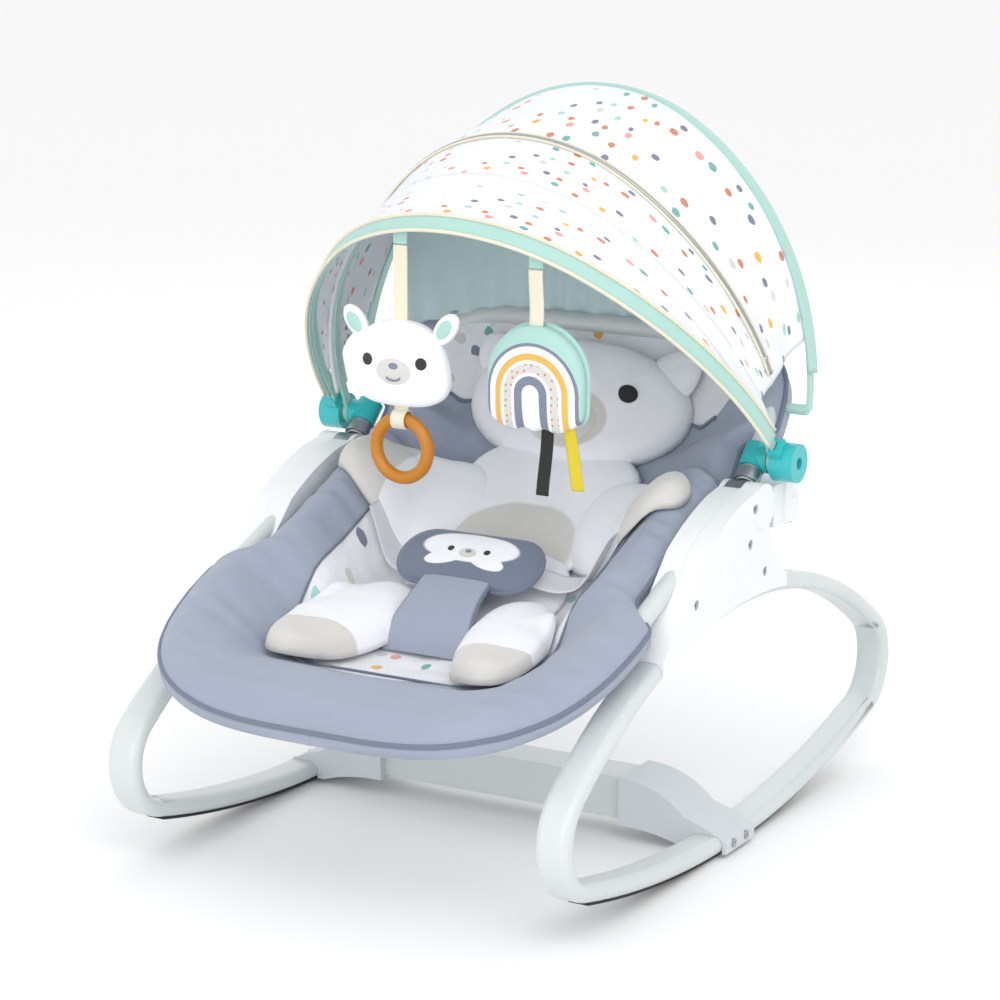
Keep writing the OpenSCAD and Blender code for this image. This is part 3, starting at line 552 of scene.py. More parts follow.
class Finishes:
    """Every finish, made once."""

    def __init__(self) -> None:
        """Makes the materials."""
        hard = {
            "enamel": HardFinish("frame_enamel", Shade.FRAME, 0.32, coat=0.25, grain=0.05, grain_cells=260.0),
            "bracket": HardFinish("pale_plastic", Shade.BRACKET, 0.42),
            "clamp": HardFinish("clamp_plastic", Shade.CLAMP, 0.45),
            "rubber": HardFinish("black_rubber", Shade.RUBBER, 0.75, grain=0.2, grain_cells=500.0),
            "steel": HardFinish("bare_steel", Shade.STEEL, 0.34, metal=1.0),
            "teal": HardFinish("teal_plastic", Shade.TEAL, 0.28, coat=0.2),
            "lever": HardFinish("lever_plastic", Shade.LEVER, 0.35),
            "hoop": HardFinish("hoop_plastic", Shade.MINT, 0.45),
            "amber": HardFinish("amber_plastic", Shade.AMBER, 0.36, coat=0.15, grain=0.06, grain_cells=300.0),
            "buckle": HardFinish("buckle_plastic", Shade.GREY_DARK, 0.45),
            "button": HardFinish("button_plastic", Shade.GREY, 0.45),
            "gold": HardFinish("zip_metal", Shade.STEEL, 0.32, metal=1.0),
        }
        cloth = {
            "seat": ClothFinish("seat_cloth", Shade.GREY, printed=sitter_print, **CUSHION),
            "back": ClothFinish("back_cloth", Shade.GREY, printed=headrest_print, **CUSHION),
            "grey": ClothFinish("grey_cloth", Shade.GREY, crease=0.35),
            "dark": ClothFinish("piping_cloth", Shade.GREY_DARK, crease=0.1, thread=0.9),
            "pad": ClothFinish("pad_cloth", Shade.GREY_DARK, printed=pad_print, crease=0.25),
            "dotted": ClothFinish(
                "dotted_cloth", Shade.SHELL, printed=dotted_print, fuzz=0.1, crease_cells=18.0,
            ),
            "bridge": ClothFinish("bridge_cloth", Shade.GREY),
            "shell": ClothFinish("shell_cloth", Shade.SHELL, fuzz=0.1, crease=0.3),
            "mint": ClothFinish("mint_cloth", Shade.MINT, crease=0.2, thread=0.9),
            "curtain": ClothFinish("curtain_cloth", Shade.CURTAIN, crease=0.9, crease_cells=24.0),
            "webbing": ClothFinish("webbing", Shade.WEBBING, thread=2.2, crease=0.1, fuzz=0.1),
            "cream": ClothFinish("cream_ribbon", Shade.CREAM, thread=1.6, crease=0.1),
            "black": ClothFinish("black_ribbon", Shade.BLACK, thread=2.0, crease=0.1, fuzz=0.05),
            "yellow": ClothFinish("yellow_ribbon", Shade.YELLOW, thread=1.6, crease=0.1),
            "head": ClothFinish("plush_face", Shade.WHITE, printed=head_print, **PILE),
            "plush": ClothFinish("plush_white", Shade.WHITE, **PILE),
            "belly": ClothFinish("plush_belly", Shade.WHITE, printed=belly_print, **PILE),
            "arm": ClothFinish("plush_arm", Shade.WHITE, printed=paw_print, **PILE),
            "leg": ClothFinish("plush_leg", Shade.WHITE, printed=foot_print, **PILE),
            "muzzle": ClothFinish("plush_muzzle", Shade.BEIGE, printed=muzzle_print, **PILE),
            "eye": ClothFinish("plush_eye", Shade.BLACK, thread=0.7, fuzz=0.1, crease=0.0),
            "bear": ClothFinish("bear_face", Shade.WHITE, pile=0.3, fuzz=0.4, crease=0.2, printed=bear_print),
            "rainbow": ClothFinish("rainbow_face", Shade.WHITE, crease=0.1, printed=rainbow_print),
        }
        self.made = {key: finish.make() for key, finish in {**hard, **cloth}.items()}

    def __getitem__(self, key: str) -> bpy.types.Material:
        """Returns a finish by its short name."""
        return self.made[key]


# ---------------------------------------------------------------- mesh making


def lay_flat(bm: bmesh.types.BMesh, flat: Callable[[bmesh.types.BMVert], Flat]) -> None:
    """Writes a piece's own flat coordinates, with flat giving each point's place in mm."""
    layer = bm.loops.layers.uv.new("plan")
    for face in bm.faces:
        for loop in face.loops:
            x, y = flat(loop.vert)
            loop[layer].uv = (x * MM, y * MM)


@dataclass
class Workshop:
    """Turns bmeshes into finished pieces that ride on the frame."""

    frame: dict
    finishes: Finishes
    count: int = 0

    def finish(self, bm: bmesh.types.BMesh, name: str, finish: str, body: str | tuple, slot: str,
               smooth: float = 180.0, replaces: Sequence[str] = ()) -> bpy.types.Object:
        """Makes the object of a bmesh in mm, dresses it and, when given one body, lets it ride on that body.

        Args:
            bm: The shape, freed here.
            name: The piece's name.
            finish: Short name of its finish.
            body: The body it rides on, or a (body, body, start, end) tuple, which leaves it on no body with
                its transform baked.
            slot: The record's material slot; not used.
            smooth: Largest angle in degrees that is shaded smooth.
            replaces: CAD nodes it stands for.

        Returns:
            The object.
        """
        bmesh.ops.scale(bm, vec=(MM, MM, MM), verts=bm.verts)
        bmesh.ops.recalc_face_normals(bm, faces=bm.faces)
        for face in bm.faces:
            face.smooth = True
        if smooth < 180:
            for edge in bm.edges:
                edge.smooth = not edge.is_manifold or edge.calc_face_angle(0) < math.radians(smooth)
        mesh = bpy.data.meshes.new(name)
        bm.to_mesh(mesh)
        bm.free()
        mesh.materials.append(self.finishes[finish])
        made = bpy.data.objects.new(name, mesh)
        bpy.context.scene.collection.objects.link(made)
        if isinstance(body, tuple):
            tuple(body[2])
            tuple(body[3])
            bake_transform(made)
        else:
            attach(made, body)
        if replaces:
            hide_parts(*replaces)
        self.count += 1
        LOG.info("%s: %d faces", name, len(mesh.polygons))
        return made

    @staticmethod
    def grid(across: int, along: int, place: Place,
             plan: Callable[[float, float], Flat]) -> bmesh.types.BMesh:
        """Makes a two-sided sheet or pad from a grid.

        Args:
            across: Squares across.
            along: Squares along.
            place: Gives the point in mm from (u, v, side), u and v from -1 to 1 and side 0 above or 1 below.
            plan: Gives the flat coordinates in mm from (u, v).

        Returns:
            The shape in mm.
        """
        bm = bmesh.new()
        bmesh.ops.create_grid(bm, x_segments=across, y_segments=along, size=1.0)
        made = bmesh.ops.extrude_face_region(bm, geom=bm.faces[:], use_keep_orig=True)
        new = [g for g in made["geom"] if isinstance(g, bmesh.types.BMVert)]
        bmesh.ops.translate(bm, verts=new, vec=(0, 0, 1.0))
        lay_flat(bm, lambda vert: plan(vert.co.x, vert.co.y))
        for vert in bm.verts:
            vert.co = place(*vert.co)
        return bm

    @staticmethod
    def pillow(place: Place, centre: Flat, reach: Outline, thick: float, turn: float = 0.0,
               segments: int = 72, rings: int = 36, lumps: float = 0.6,
               lift: float = 1.0) -> bmesh.types.BMesh:
        """Makes a stuffed shape lying on a surface.

        Args:
            place: Gives the point in mm at (x, y) on the surface and a height.
            centre: Middle of the outline, mm.
            reach: Gives the outline's radius in mm at an angle in radians.
            thick: Height of the crown, mm.
            turn: Turn of the outline in degrees.
            segments: Faces round it.
            rings: Faces from pole to pole.
            lumps: Size of the dimples, mm.
            lift: Height of its underside, mm.

        Returns:
            The shape in mm.
        """
        bm = bmesh.new()
        bmesh.ops.create_uvsphere(bm, u_segments=segments, v_segments=rings, radius=1.0)
        c, s = math.cos(math.radians(turn)), math.sin(math.radians(turn))

        def flat(co: Vector) -> Flat:
            """Returns the place on the surface of a point of the ball, from the outline's middle."""
            angle, r = math.atan2(co.y, co.x), math.hypot(co.x, co.y)
            wide = reach(angle) * (1 + 0.025 * max(0.0, 1 - abs(co.z) * 9))
            x, y = wide * r * math.cos(angle), wide * r * math.sin(angle)
            return x * c - y * s, x * s + y * c

        own = {vert.index: flat(vert.co) for vert in bm.verts}
        lay_flat(bm, lambda vert: own[vert.index])
        for vert in bm.verts:
            x, y = centre[0] + own[vert.index][0], centre[1] + own[vert.index][1]
            z, h = vert.co.z, lift + 1.2
            if z > 0:
                angle, r = math.atan2(vert.co.y, vert.co.x), math.hypot(vert.co.x, vert.co.y)
                tuck = max(0.0, 1 - abs(1 - r) * 7) * ripple(angle * 5.5, 3.1, centre[0]) * 1.6
                dimple = ripple(x * 0.035, y * 0.035, 7.7) * 2.2
                h += z ** 0.62 * thick + (tuck + dimple) * lumps
            else:
                h += z * 1.2
            vert.co = place(x, y, h)
        return bm

    @staticmethod
    def rope(path: Sequence[Vector], radius: float, sides: int, shut: bool = False,
             flat: float = 1.0) -> bmesh.types.BMesh:
        """Makes a round or flattened strand along a path.

        Args:
            path: Points in mm.
            radius: Radius, mm.
            sides: Faces round it.
            shut: Whether the path is a loop.
            flat: Height of the section over its width.

        Returns:
            The shape in mm.
        """
        bm = bmesh.new()
        first: list[bmesh.types.BMVert] = []
        last: list[bmesh.types.BMVert] = []
        n = len(path)
        side_dir: Vector | None = None
        for i, point in enumerate(path):
            ahead = path[(i + 1) % n] if (i < n - 1 or shut) else point
            behind = path[i - 1] if (i > 0 or shut) else point
            along = (ahead - behind).normalized()
            if side_dir is None:
                side_dir = along.orthogonal().normalized()
            side_dir = (side_dir - along * side_dir.dot(along)).normalized()
            other = along.cross(side_dir)
            ring = bmesh.ops.create_circle(bm, segments=sides, radius=radius)["verts"]
            basis = Matrix((side_dir, other * flat, along)).transposed()
            for vert in ring:
                vert.co = point + basis @ Vector((vert.co.x, vert.co.y, 0))
            for k in range(sides if last else 0):
                bm.faces.new((last[k], last[(k + 1) % sides], ring[(k + 1) % sides], ring[k]))
            last = ring
            first = first or ring
        if shut:
            for k in range(sides):
                bm.faces.new((last[k], last[(k + 1) % sides], first[(k + 1) % sides], first[k]))
        else:
            bm.faces.new(first)
            bm.faces.new(list(reversed(last)))
        bm.loops.layers.uv.new("plan")
        return bm

    def hard_copy(self, node: str, finish: str, slot: str, bevel: float, angle: float = 32.0) -> None:
        """Makes a clean copy of a CAD node with its edges softened, to stand for the node.

        Args:
            node: The CAD node.
            finish: Short name of its finish.
            slot: The record's material slot; not used.
            bevel: Width of the softened edge, mm; 0 leaves edges sharp.
            angle: Edges sharper than this many degrees are softened.
        """
        source = self.frame["nodes"][node]
        bm = bmesh.new()
        bm.from_mesh(source.data)
        bmesh.ops.remove_doubles(bm, verts=bm.verts, dist=0.02 * MM)
        bmesh.ops.dissolve_limit(bm, angle_limit=math.radians(0.6), verts=bm.verts, edges=bm.edges)
        bmesh.ops.scale(bm, vec=(1 / MM, 1 / MM, 1 / MM), verts=bm.verts)
        made = self.finish(bm, f"{node}_shown", finish, source["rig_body"], slot, angle, (node,))
        if bevel:
            soft = made.modifiers.new("soft_edges", "BEVEL")
            soft.width, soft.segments, soft.limit_method = bevel * MM, 2, "ANGLE"
            soft.angle_limit = math.radians(angle)
            soft.use_clamp_overlap = True
            soft.harden_normals = True


# ---------------------------------------------------------------- the seat's surfaces


def rounded(t: float) -> float:
    """Returns how wide a cover is a share t of the way in from its rounded end, from 0 to 1."""
    t = max(0.0, min(1.0, t))
    return (1 - (1 - t) ** CORNER_POWER) ** (1 / CORNER_POWER)


@dataclass(frozen=True)
class Seat:
    """The seat sling: a hollow between padded sides, in mm."""

    slope: float = math.tan(math.radians(21.8))
    tube_end: tuple[float, float] = (8.0, 312.0)
    front: float = -353.0
    rear: float = 35.0
    corner: float = 205.0
    sag: Table = (
        (-348, 3), (-329, 14), (-300, 14), (-262, -12), (-217, -40),
        (-158, -56), (-80, -72), (-15, -62), (35, -58),
    )
    width: Table = ((-170, 230), (-128, 196), (35, 195))
    padding: Table = ((0, 9), (0.5, 11), (0.7, 24), (0.86, 32), (0.95, 26), (1, 10))

    def tube(self, y: float) -> float:
        """Returns the height of the frame tube's centre line."""
        return self.tube_end[1] - (self.tube_end[0] - y) * self.slope

    def sling(self, y: float) -> float:
        """Returns the height of the middle of the sling."""
        return self.tube(y) + curve_through(self.sag, y)

    def half(self, y: float) -> float:
        """Returns half the cover's width."""
        return rounded((y - self.front) / self.corner) * curve_through(self.width, y)

    def top(self, x: float, y: float) -> float:
        """Returns the height of the cover's upper side."""
        q = min(1.0, abs(x) / max(1.0, self.half(y)))
        c, b = self.sling(y), self.tube(y) + 20
        rise = ((0, c), (0.5, blend_of(c, b, 0.12)), (0.7, blend_of(c, b, 0.7)))
        return curve_through((*rise, (0.86, b), (0.95, b - 6), (1, b - 18)), q)

    def pad(self, q: float) -> float:
        """Returns how thick the cover is a share q of the way out."""
        return curve_through(self.padding, abs(q))

    def at(self, x: float, y: float, h: float) -> Vector:
        """Returns the point h above the cover."""
        return Vector((x, y, self.top(x, y) + h))


@dataclass(frozen=True)
class Back:
    """The backrest cover, in mm; s runs up the backrest from its pins."""

    pins: tuple[float, float] = (35.0, 314.5)
    height: float = 196.0
    lean: float = math.radians(45)
    lower_half: float = 194.0
    upper_half: float = 222.0
    middle: Table = ((0, -42), (60, -44), (130, -24), (196, 4))
    sides: Table = ((0, 4), (130, 14), (196, 6))
    padding: Table = ((0, 11), (0.55, 13), (0.78, 28), (0.9, 34), (1, 15))

    def at_plane(self, x: float, s: float, n: float) -> Vector:
        """Returns the point n off the backrest's plane."""
        c = math.cos(self.lean)
        return Vector((x, self.pins[0] + (s - n) * c, self.pins[1] + (s + n) * c))

    def half(self, s: float) -> float:
        """Returns half the cover's width."""
        narrowing = blend_of(self.lower_half, self.upper_half, ease((s - 60) / 24))
        return min(self.upper_half * rounded((200 - s) / 124), narrowing)

    def top(self, x: float, s: float) -> float:
        """Returns how far the cover's upper side stands off the plane."""
        c, b = curve_through(self.middle, s), curve_through(self.sides, s)
        q = min(1.0, abs(x) / max(1.0, self.half(s)))
        side = ((0.55, blend_of(c, b, 0.15)), (0.78, blend_of(c, b, 0.8)), (0.9, b), (1, b - 14))
        return curve_through(((0, c), *side), q)

    def pad(self, q: float) -> float:
        """Returns how thick the cover is a share q of the way out."""
        return curve_through(self.padding, abs(q))

    def at(self, x: float, s: float, h: float) -> Vector:
        """Returns the point h off the cover."""
        return self.at_plane(x, s, self.top(x, s) + h)


SEAT, BACK = Seat(), Back()


@dataclass(frozen=True)
class Hoop:
    """A canopy hoop: half width, rise, lean in degrees, and its foot line, in mm."""

    half: float
    rise: float
    lean: float
    foot_y: float
    foot_z: float

    def toward(self, other: "Hoop", t: float) -> "Hoop":
        """Returns the hoop a share t of the way to another."""
        return Hoop(*(blend_of(a, b, t) for a, b in zip(astuple(self), astuple(other))))

    def at(self, t: float, out: float, along: float = 0.0) -> Vector:
        """Returns a point of the curve.

        Args:
            t: 0 at one foot, 1 at the other.
            out: Distance outside the curve, mm.
            along: Distance to the rear of the hoop's plane, mm.

        Returns:
            The point.
        """
        crown = self.half * 0.62 + self.rise * 0.12
        big = (self.half ** 2 + (self.rise - crown) ** 2 - crown ** 2) / (2 * (self.half - crown))
        turn = math.atan2(self.rise - crown, big - self.half)
        u, side = (1 - t, -1) if t > 0.5 else (t, 1)
        if u < SIDE_SHARE:
            a = turn * u / SIDE_SHARE
            x, h = side * (self.half - big + (big + out) * math.cos(a)), (big + out) * math.sin(a)
        else:
            a = turn + (math.pi / 2 - turn) * (u - SIDE_SHARE) / (0.5 - SIDE_SHARE)
            x, h = side * (crown + out) * math.cos(a), self.rise - crown + (crown + out) * math.sin(a)
        lean = math.radians(self.lean)
        y = self.foot_y + h * math.sin(lean) + along * math.cos(lean)
        return Vector((x, y, self.foot_z + h * math.cos(lean) - along * math.sin(lean)))

    def line(self, start: float, stop: float, count: int, out: float, along: float = 0.0) -> list[Vector]:
        """Returns points of the curve from start to stop."""
        return [self.at(t, out, along) for t in steps(start, stop, count)]


FRONT, MIDDLE = Hoop(237.5, 308, -43, 70, 349.5), Hoop(230, 292, -29, 70, 349.5)
REAR = Hoop(243, 286, 8.5, 117.9, 389.4)
SEAM = MIDDLE.toward(REAR, 0.3)
FOLD: Ride = ("base", "backrest", (0, 0.029, 0.256), (0, 0.075, 0.278))


# ---------------------------------------------------------------- sub-assemblies


@dataclass
class SeatCover:
    """The padded grey seat with its dotted panel and piping, in mm."""

    across: int = 150
    along: int = 150
    gather: float = 1.5
    crowding: float = 1.7
    narrowest: float = 0.6
    lip: float = 30.0
    panel_half: float = 136.0
    panel_front: float = -232.0
    panel_corner: float = 70.0

    def flat(self, u: float, v: float) -> tuple[float, float]:
        """Returns the place in the cover's plan of a grid point, with rows crowded at the front."""
        y = SEAT.front + (SEAT.rear - SEAT.front) * ((v + 1) / 2) ** self.crowding
        return u * max(self.narrowest, SEAT.half(y)), y

    def place(self, u: float, v: float, side: float) -> Vector:
        """Returns a point of the cover: u across, v front to rear, side 1 below."""
        x, y = self.flat(u, v)
        rim = ease((abs(u) - 0.55) / 0.3) * ease((1 - abs(u)) * 9)
        fold = ripple(y * 0.06, u * 2.2, 1.0) * 2.2 * ease(1.4 - abs(u))
        fold += math.sin(y * 0.21 + ripple(y * 0.02, 0, 5) * 5) * self.gather * rim
        share, tube, top = ease((y - SEAT.front + 1) / self.lip), SEAT.tube(y), SEAT.top(x, y)
        if side < 0.5:
            return Vector((x, y, blend_of(tube + 1, top + fold, share)))
        return Vector((x, y, blend_of(tube - 11, top - SEAT.pad(u), share)))

    def build(self, shop: Workshop) -> None:
        """Makes the cover and its piping."""
        bm = shop.grid(self.across, self.along, self.place, self.flat)
        cover = shop.finish(bm, "seat_cover_cloth", "seat", "base", "grey_fabric", replaces=("seat_cover",))
        edge = [self.place(0.995, v, 0) for v in steps(1, -0.96, 70)]
        edge += [self.place(-0.995, v, 0) for v in steps(-0.96, 1, 70)]
        piping = shop.rope([point + Vector((0, 0, -1)) for point in edge], 2.6, 8)
        shop.finish(piping, "seat_piping", "dark", "base", "grey_fabric")
        seam = shop.rope([SEAT.at(x, y, 1.2) for x, y in self.panel_line()], 1.3, 6)
        shop.finish(seam, "seat_panel_seam", "dark", "base", "grey_fabric")

    def panel_line(self) -> list[tuple[float, float]]:
        """Returns the outline of the dotted panel, open at the rear."""
        r, w, y0 = self.panel_corner, self.panel_half, self.panel_front
        line = [(w, 30 - i * 12.0) for i in range(16)]
        turns = [i * math.pi / 24 for i in range(13)]
        line += [(w - r + r * math.cos(a), y0 + r - r * math.sin(a)) for a in turns]
        return line + [(-x, y) for x, y in reversed(line)]


@dataclass
class BackCover:
    """The padded backrest with its dotted headrest panel, in mm."""

    across: int = 150
    along: int = 90
    foot: float = 4.0
    crowding: float = 1.5
    bridge_half: float = 186.0

    def flat(self, u: float, v: float) -> tuple[float, float]:
        """Returns the place in the cover's plan of a grid point, with rows crowded at the top."""
        s = self.foot + (BACK.height - self.foot) * (1 - ((1 - v) / 2) ** self.crowding)
        return u * BACK.half(s), s

    def place(self, u: float, v: float, side: float) -> Vector:
        """Returns a point of the cover: u across, v from the hinge to the top, side 1 below."""
        x, s = self.flat(u, v)
        if side >= 0.5:
            return BACK.at_plane(x, s, BACK.top(x, s) - BACK.pad(u))
        rim = ease((abs(u) - 0.6) / 0.25) * ease((1 - abs(u)) * 9)
        fold = ripple(s * 0.05, u * 2.4, 3.0) * 2.0 + math.sin(s * 0.23 + u * 2) * 1.2 * rim
        return BACK.at_plane(x, s, BACK.top(x, s) + fold)

    def build(self, shop: Workshop) -> None:
        """Makes the cover, its piping, the scalloped strip and the bridge over the hinge."""
        bm = shop.grid(self.across, self.along, self.place, self.flat)
        cover = shop.finish(
            bm, "back_cover_cloth", "back", "backrest", "grey_fabric", replaces=("back_cover",),
        )
        edge = [self.place(0.995, v, 0) for v in steps(-1, 0.98, 60)]
        edge += [self.place(-0.995, v, 0) for v in steps(0.98, -1, 60)]
        shop.finish(shop.rope(edge, 2.6, 8), "back_piping", "dark", "backrest", "grey_fabric")
        scallops = [BACK.at(x, 92 + 5 * abs(math.sin(x * math.pi / 44)), 1.5) for x in range(-150, 151, 3)]
        shop.finish(shop.rope(scallops, 1.8, 8), "headrest_scallop", "dark", "backrest", "grey_fabric")
        bridge = shop.grid(90, 22, self.bridge_place, lambda u, v: (u * self.bridge_half, v * 40))
        shop.finish(bridge, "bridge_cloth", "bridge", FOLD, "grey_fabric")

    def bridge_place(self, u: float, v: float, side: float) -> Vector:
        """Returns a point of the strip that closes the gap between seat and back."""
        x, t = u * self.bridge_half, (v + 1) / 2
        a, b = SEAT.at(x, 24, 1.0), BACK.at(x, 16, 1.0)
        mid = (a + b) / 2 + Vector((0, 3, -5))
        point = a * (1 - t) ** 2 + mid * 2 * t * (1 - t) + b * t * t
        return point + Vector((0, 0.6 * side, -3.0 * side + ripple(u * 5, t * 2, 9) * 1.2))


def egg(rx: float, ry: float) -> Outline:
    """Returns the radius of an ellipse at an angle."""
    return lambda a: rx * ry / math.hypot(ry * math.cos(a), rx * math.sin(a))


@dataclass
class PlushLiner:
    """The white animal lying on the seat."""

    def build(self, shop: Workshop) -> None:
        """Makes the body, legs, arms, head and ears."""
        body = shop.pillow(SEAT.at, (0, -62), egg(82, 66), 20, lumps=1.0)
        shop.finish(body, "plush_belly", "plush", "base", "white_plush", replaces=("plush_body",))
        for side, tag in SIDES:
            leg = shop.pillow(mirrored(SEAT.at, side), (82, -166), egg(43, 88), 30, 17, lumps=1.2, lift=5)
            shop.finish(leg, f"plush_{tag}_leg", "leg", "base", "white_plush")
            arm = shop.pillow(mirrored(self.lap, side), (116, -12), egg(68, 34), 24, -14, lumps=1.0, lift=4)
            node = f"plush_{tag}_arm"
            shop.finish(arm, f"{node}_soft", "arm", FOLD, "beige_plush", replaces=(node,))
            ear = shop.pillow(mirrored(BACK.at, side), (88, 128), egg(24, 38), 14, -50, lumps=0.8, lift=6)
            shop.finish(ear, f"plush_{tag}_ear", "plush", "backrest", "white_plush")
        head = shop.pillow(BACK.at, (0, 98), egg(118, 62), 34, lumps=1.2)
        shop.finish(head, "plush_head_soft", "head", "backrest", "white_plush", replaces=("plush_head",))
        torso = shop.pillow(self.lap, (0, 8), egg(94, 60), 14, segments=72, rings=30, lumps=1.0, lift=5)
        shop.finish(torso, "plush_torso", "belly", FOLD, "white_plush")
        muzzle = shop.pillow(raised(BACK.at, 27), (0, 77), egg(36, 22), 9, lumps=0.5)
        shop.finish(muzzle, "plush_muzzle", "muzzle", "backrest", "beige_plush")
        for side, tag in SIDES:
            place = raised(BACK.at, 29)
            eye = shop.pillow(place, (side * 58, 103), egg(12, 9), 5, lumps=0.0, segments=32, rings=16)
            shop.finish(eye, f"plush_eye_{tag}", "eye", "backrest", "white_plush")

    @staticmethod
    def lap(x: float, d: float, h: float) -> Vector:
        """Returns a point over the fold: d runs from the seat (under 0) to the back (over 0), h above."""
        return SEAT.at(x, min(22.0, 6 + d), h).lerp(BACK.at(x, max(6.0, d), h), ease((d + 34) / 68))


def mirrored(place: Place, side: int) -> Place:
    """Returns a place function for the left (-1) or the right (1) side."""
    return lambda x, y, h: place(x * side, y, h)


def raised(place: Place, lift: float) -> Place:
    """Returns a place function that stands this many mm higher."""
    return lambda x, y, h: place(x, y, h + lift)


@dataclass
class Harness:
    """The pad with its face, the crotch strap and the belts, in mm."""

    y: float = -88.0
    tilt: float = math.radians(38)
    disc: float = 30.0
    disc_x: float = 44.0
    strap_y: Table = ((0, -168), (1, -163), (2, -152), (3, -138), (4, -122), (5, -106))
    strap_h: Table = ((0, 2), (1, 16), (2, 30), (3, 42), (4, 52), (5, 60))
    belt_drop: Table = ((46, 0), (80, -10), (112, -16), (140, -12), (158, 4))

    @property
    def z(self) -> float:
        """Returns the pad's height."""
        return SEAT.sling(-168) + 74

    def at_pad(self, x: float, y: float, n: float) -> Vector:
        """Returns a point of the pad's own plane."""
        c, s = math.cos(self.tilt), math.sin(self.tilt)
        return Vector((x, self.y + y * c - n * s, self.z + y * s + n * c))

    def oval(self, a: float) -> float:
        """Returns the pad's outline radius at an angle: two discs and the band between them."""
        c, s = abs(math.cos(a)), abs(math.sin(a))
        if self.disc * c < self.disc_x * s:
            return self.disc / s
        return self.disc_x * c + math.sqrt(max(0.0, self.disc ** 2 - (self.disc_x * s) ** 2))

    def build(self, shop: Workshop) -> None:
        """Makes the soft harness pieces."""
        pad = shop.pillow(raised(self.at_pad, -7), (0, 0), self.oval, 12, lumps=0.3)
        soft = shop.finish(pad, "harness_pad", "pad", "base", "grey_fabric", replaces=("crotch_pad",))
        turns = [i * math.tau / 72 for i in range(72)]
        rim = [self.at_pad(self.oval(a) * math.cos(a), self.oval(a) * math.sin(a), -4) for a in turns]
        piping = shop.rope(rim, 2.4, 8, shut=True)
        shop.finish(piping, "harness_pad_piping", "dark", "base", "grey_fabric")
        strap = shop.grid(30, 40, self.strap_place, lambda u, v: (u * 40, v * 50))
        shop.finish(strap, "crotch_strap_cloth", "grey", "base", "grey_fabric", replaces=("crotch_strap",))
        for side, tag in SIDES:
            line = shop.rope([self.strap_place(side, v, 0.5) for v in steps(-1, 1, 40)], 2.2, 8)
            shop.finish(line, f"crotch_piping_{tag}", "dark", "base", "grey_fabric")
        for side, tag in SIDES:
            belt = shop.grid(12, 60, partial(self.belt_place, side), lambda u, v: (u * 19, v * 60))
            node = f"{tag}_waist_belt"
            shop.finish(belt, f"{tag}_belt_web", "webbing", "base", "webbing", replaces=(node,))

    def strap_place(self, u: float, v: float, side: float) -> Vector:
        """Returns a point of the crotch strap."""
        t = (v + 1) / 2 * 5
        y, h = curve_through(self.strap_y, t), curve_through(self.strap_h, t)
        half = blend_of(44, 34, ease((h - 2) / 58))
        bow = -3 * (1 - u * u)
        height = SEAT.sling(-168) + h + 1 - 2 * side - bow * 0.4
        return Vector((u * half, y + bow * 0.5 + 6 * side - 3, height))

    def belt_place(self, side: int, u: float, v: float, under: float) -> Vector:
        """Returns a point of a waist belt, from the buckle out to the seat's cloth."""
        x = 46 + 82 * (v + 1) / 2
        y = self.y + 12 + (x - 46) * 0.45
        high, low = self.z - 12 + curve_through(self.belt_drop, x), SEAT.top(x, y) + 14
        top = blend_of(high, low, ease((x - 60) / 62))
        return Vector((side * x, y + u * 17, top + 4 + u * 3 - under * 1.8))


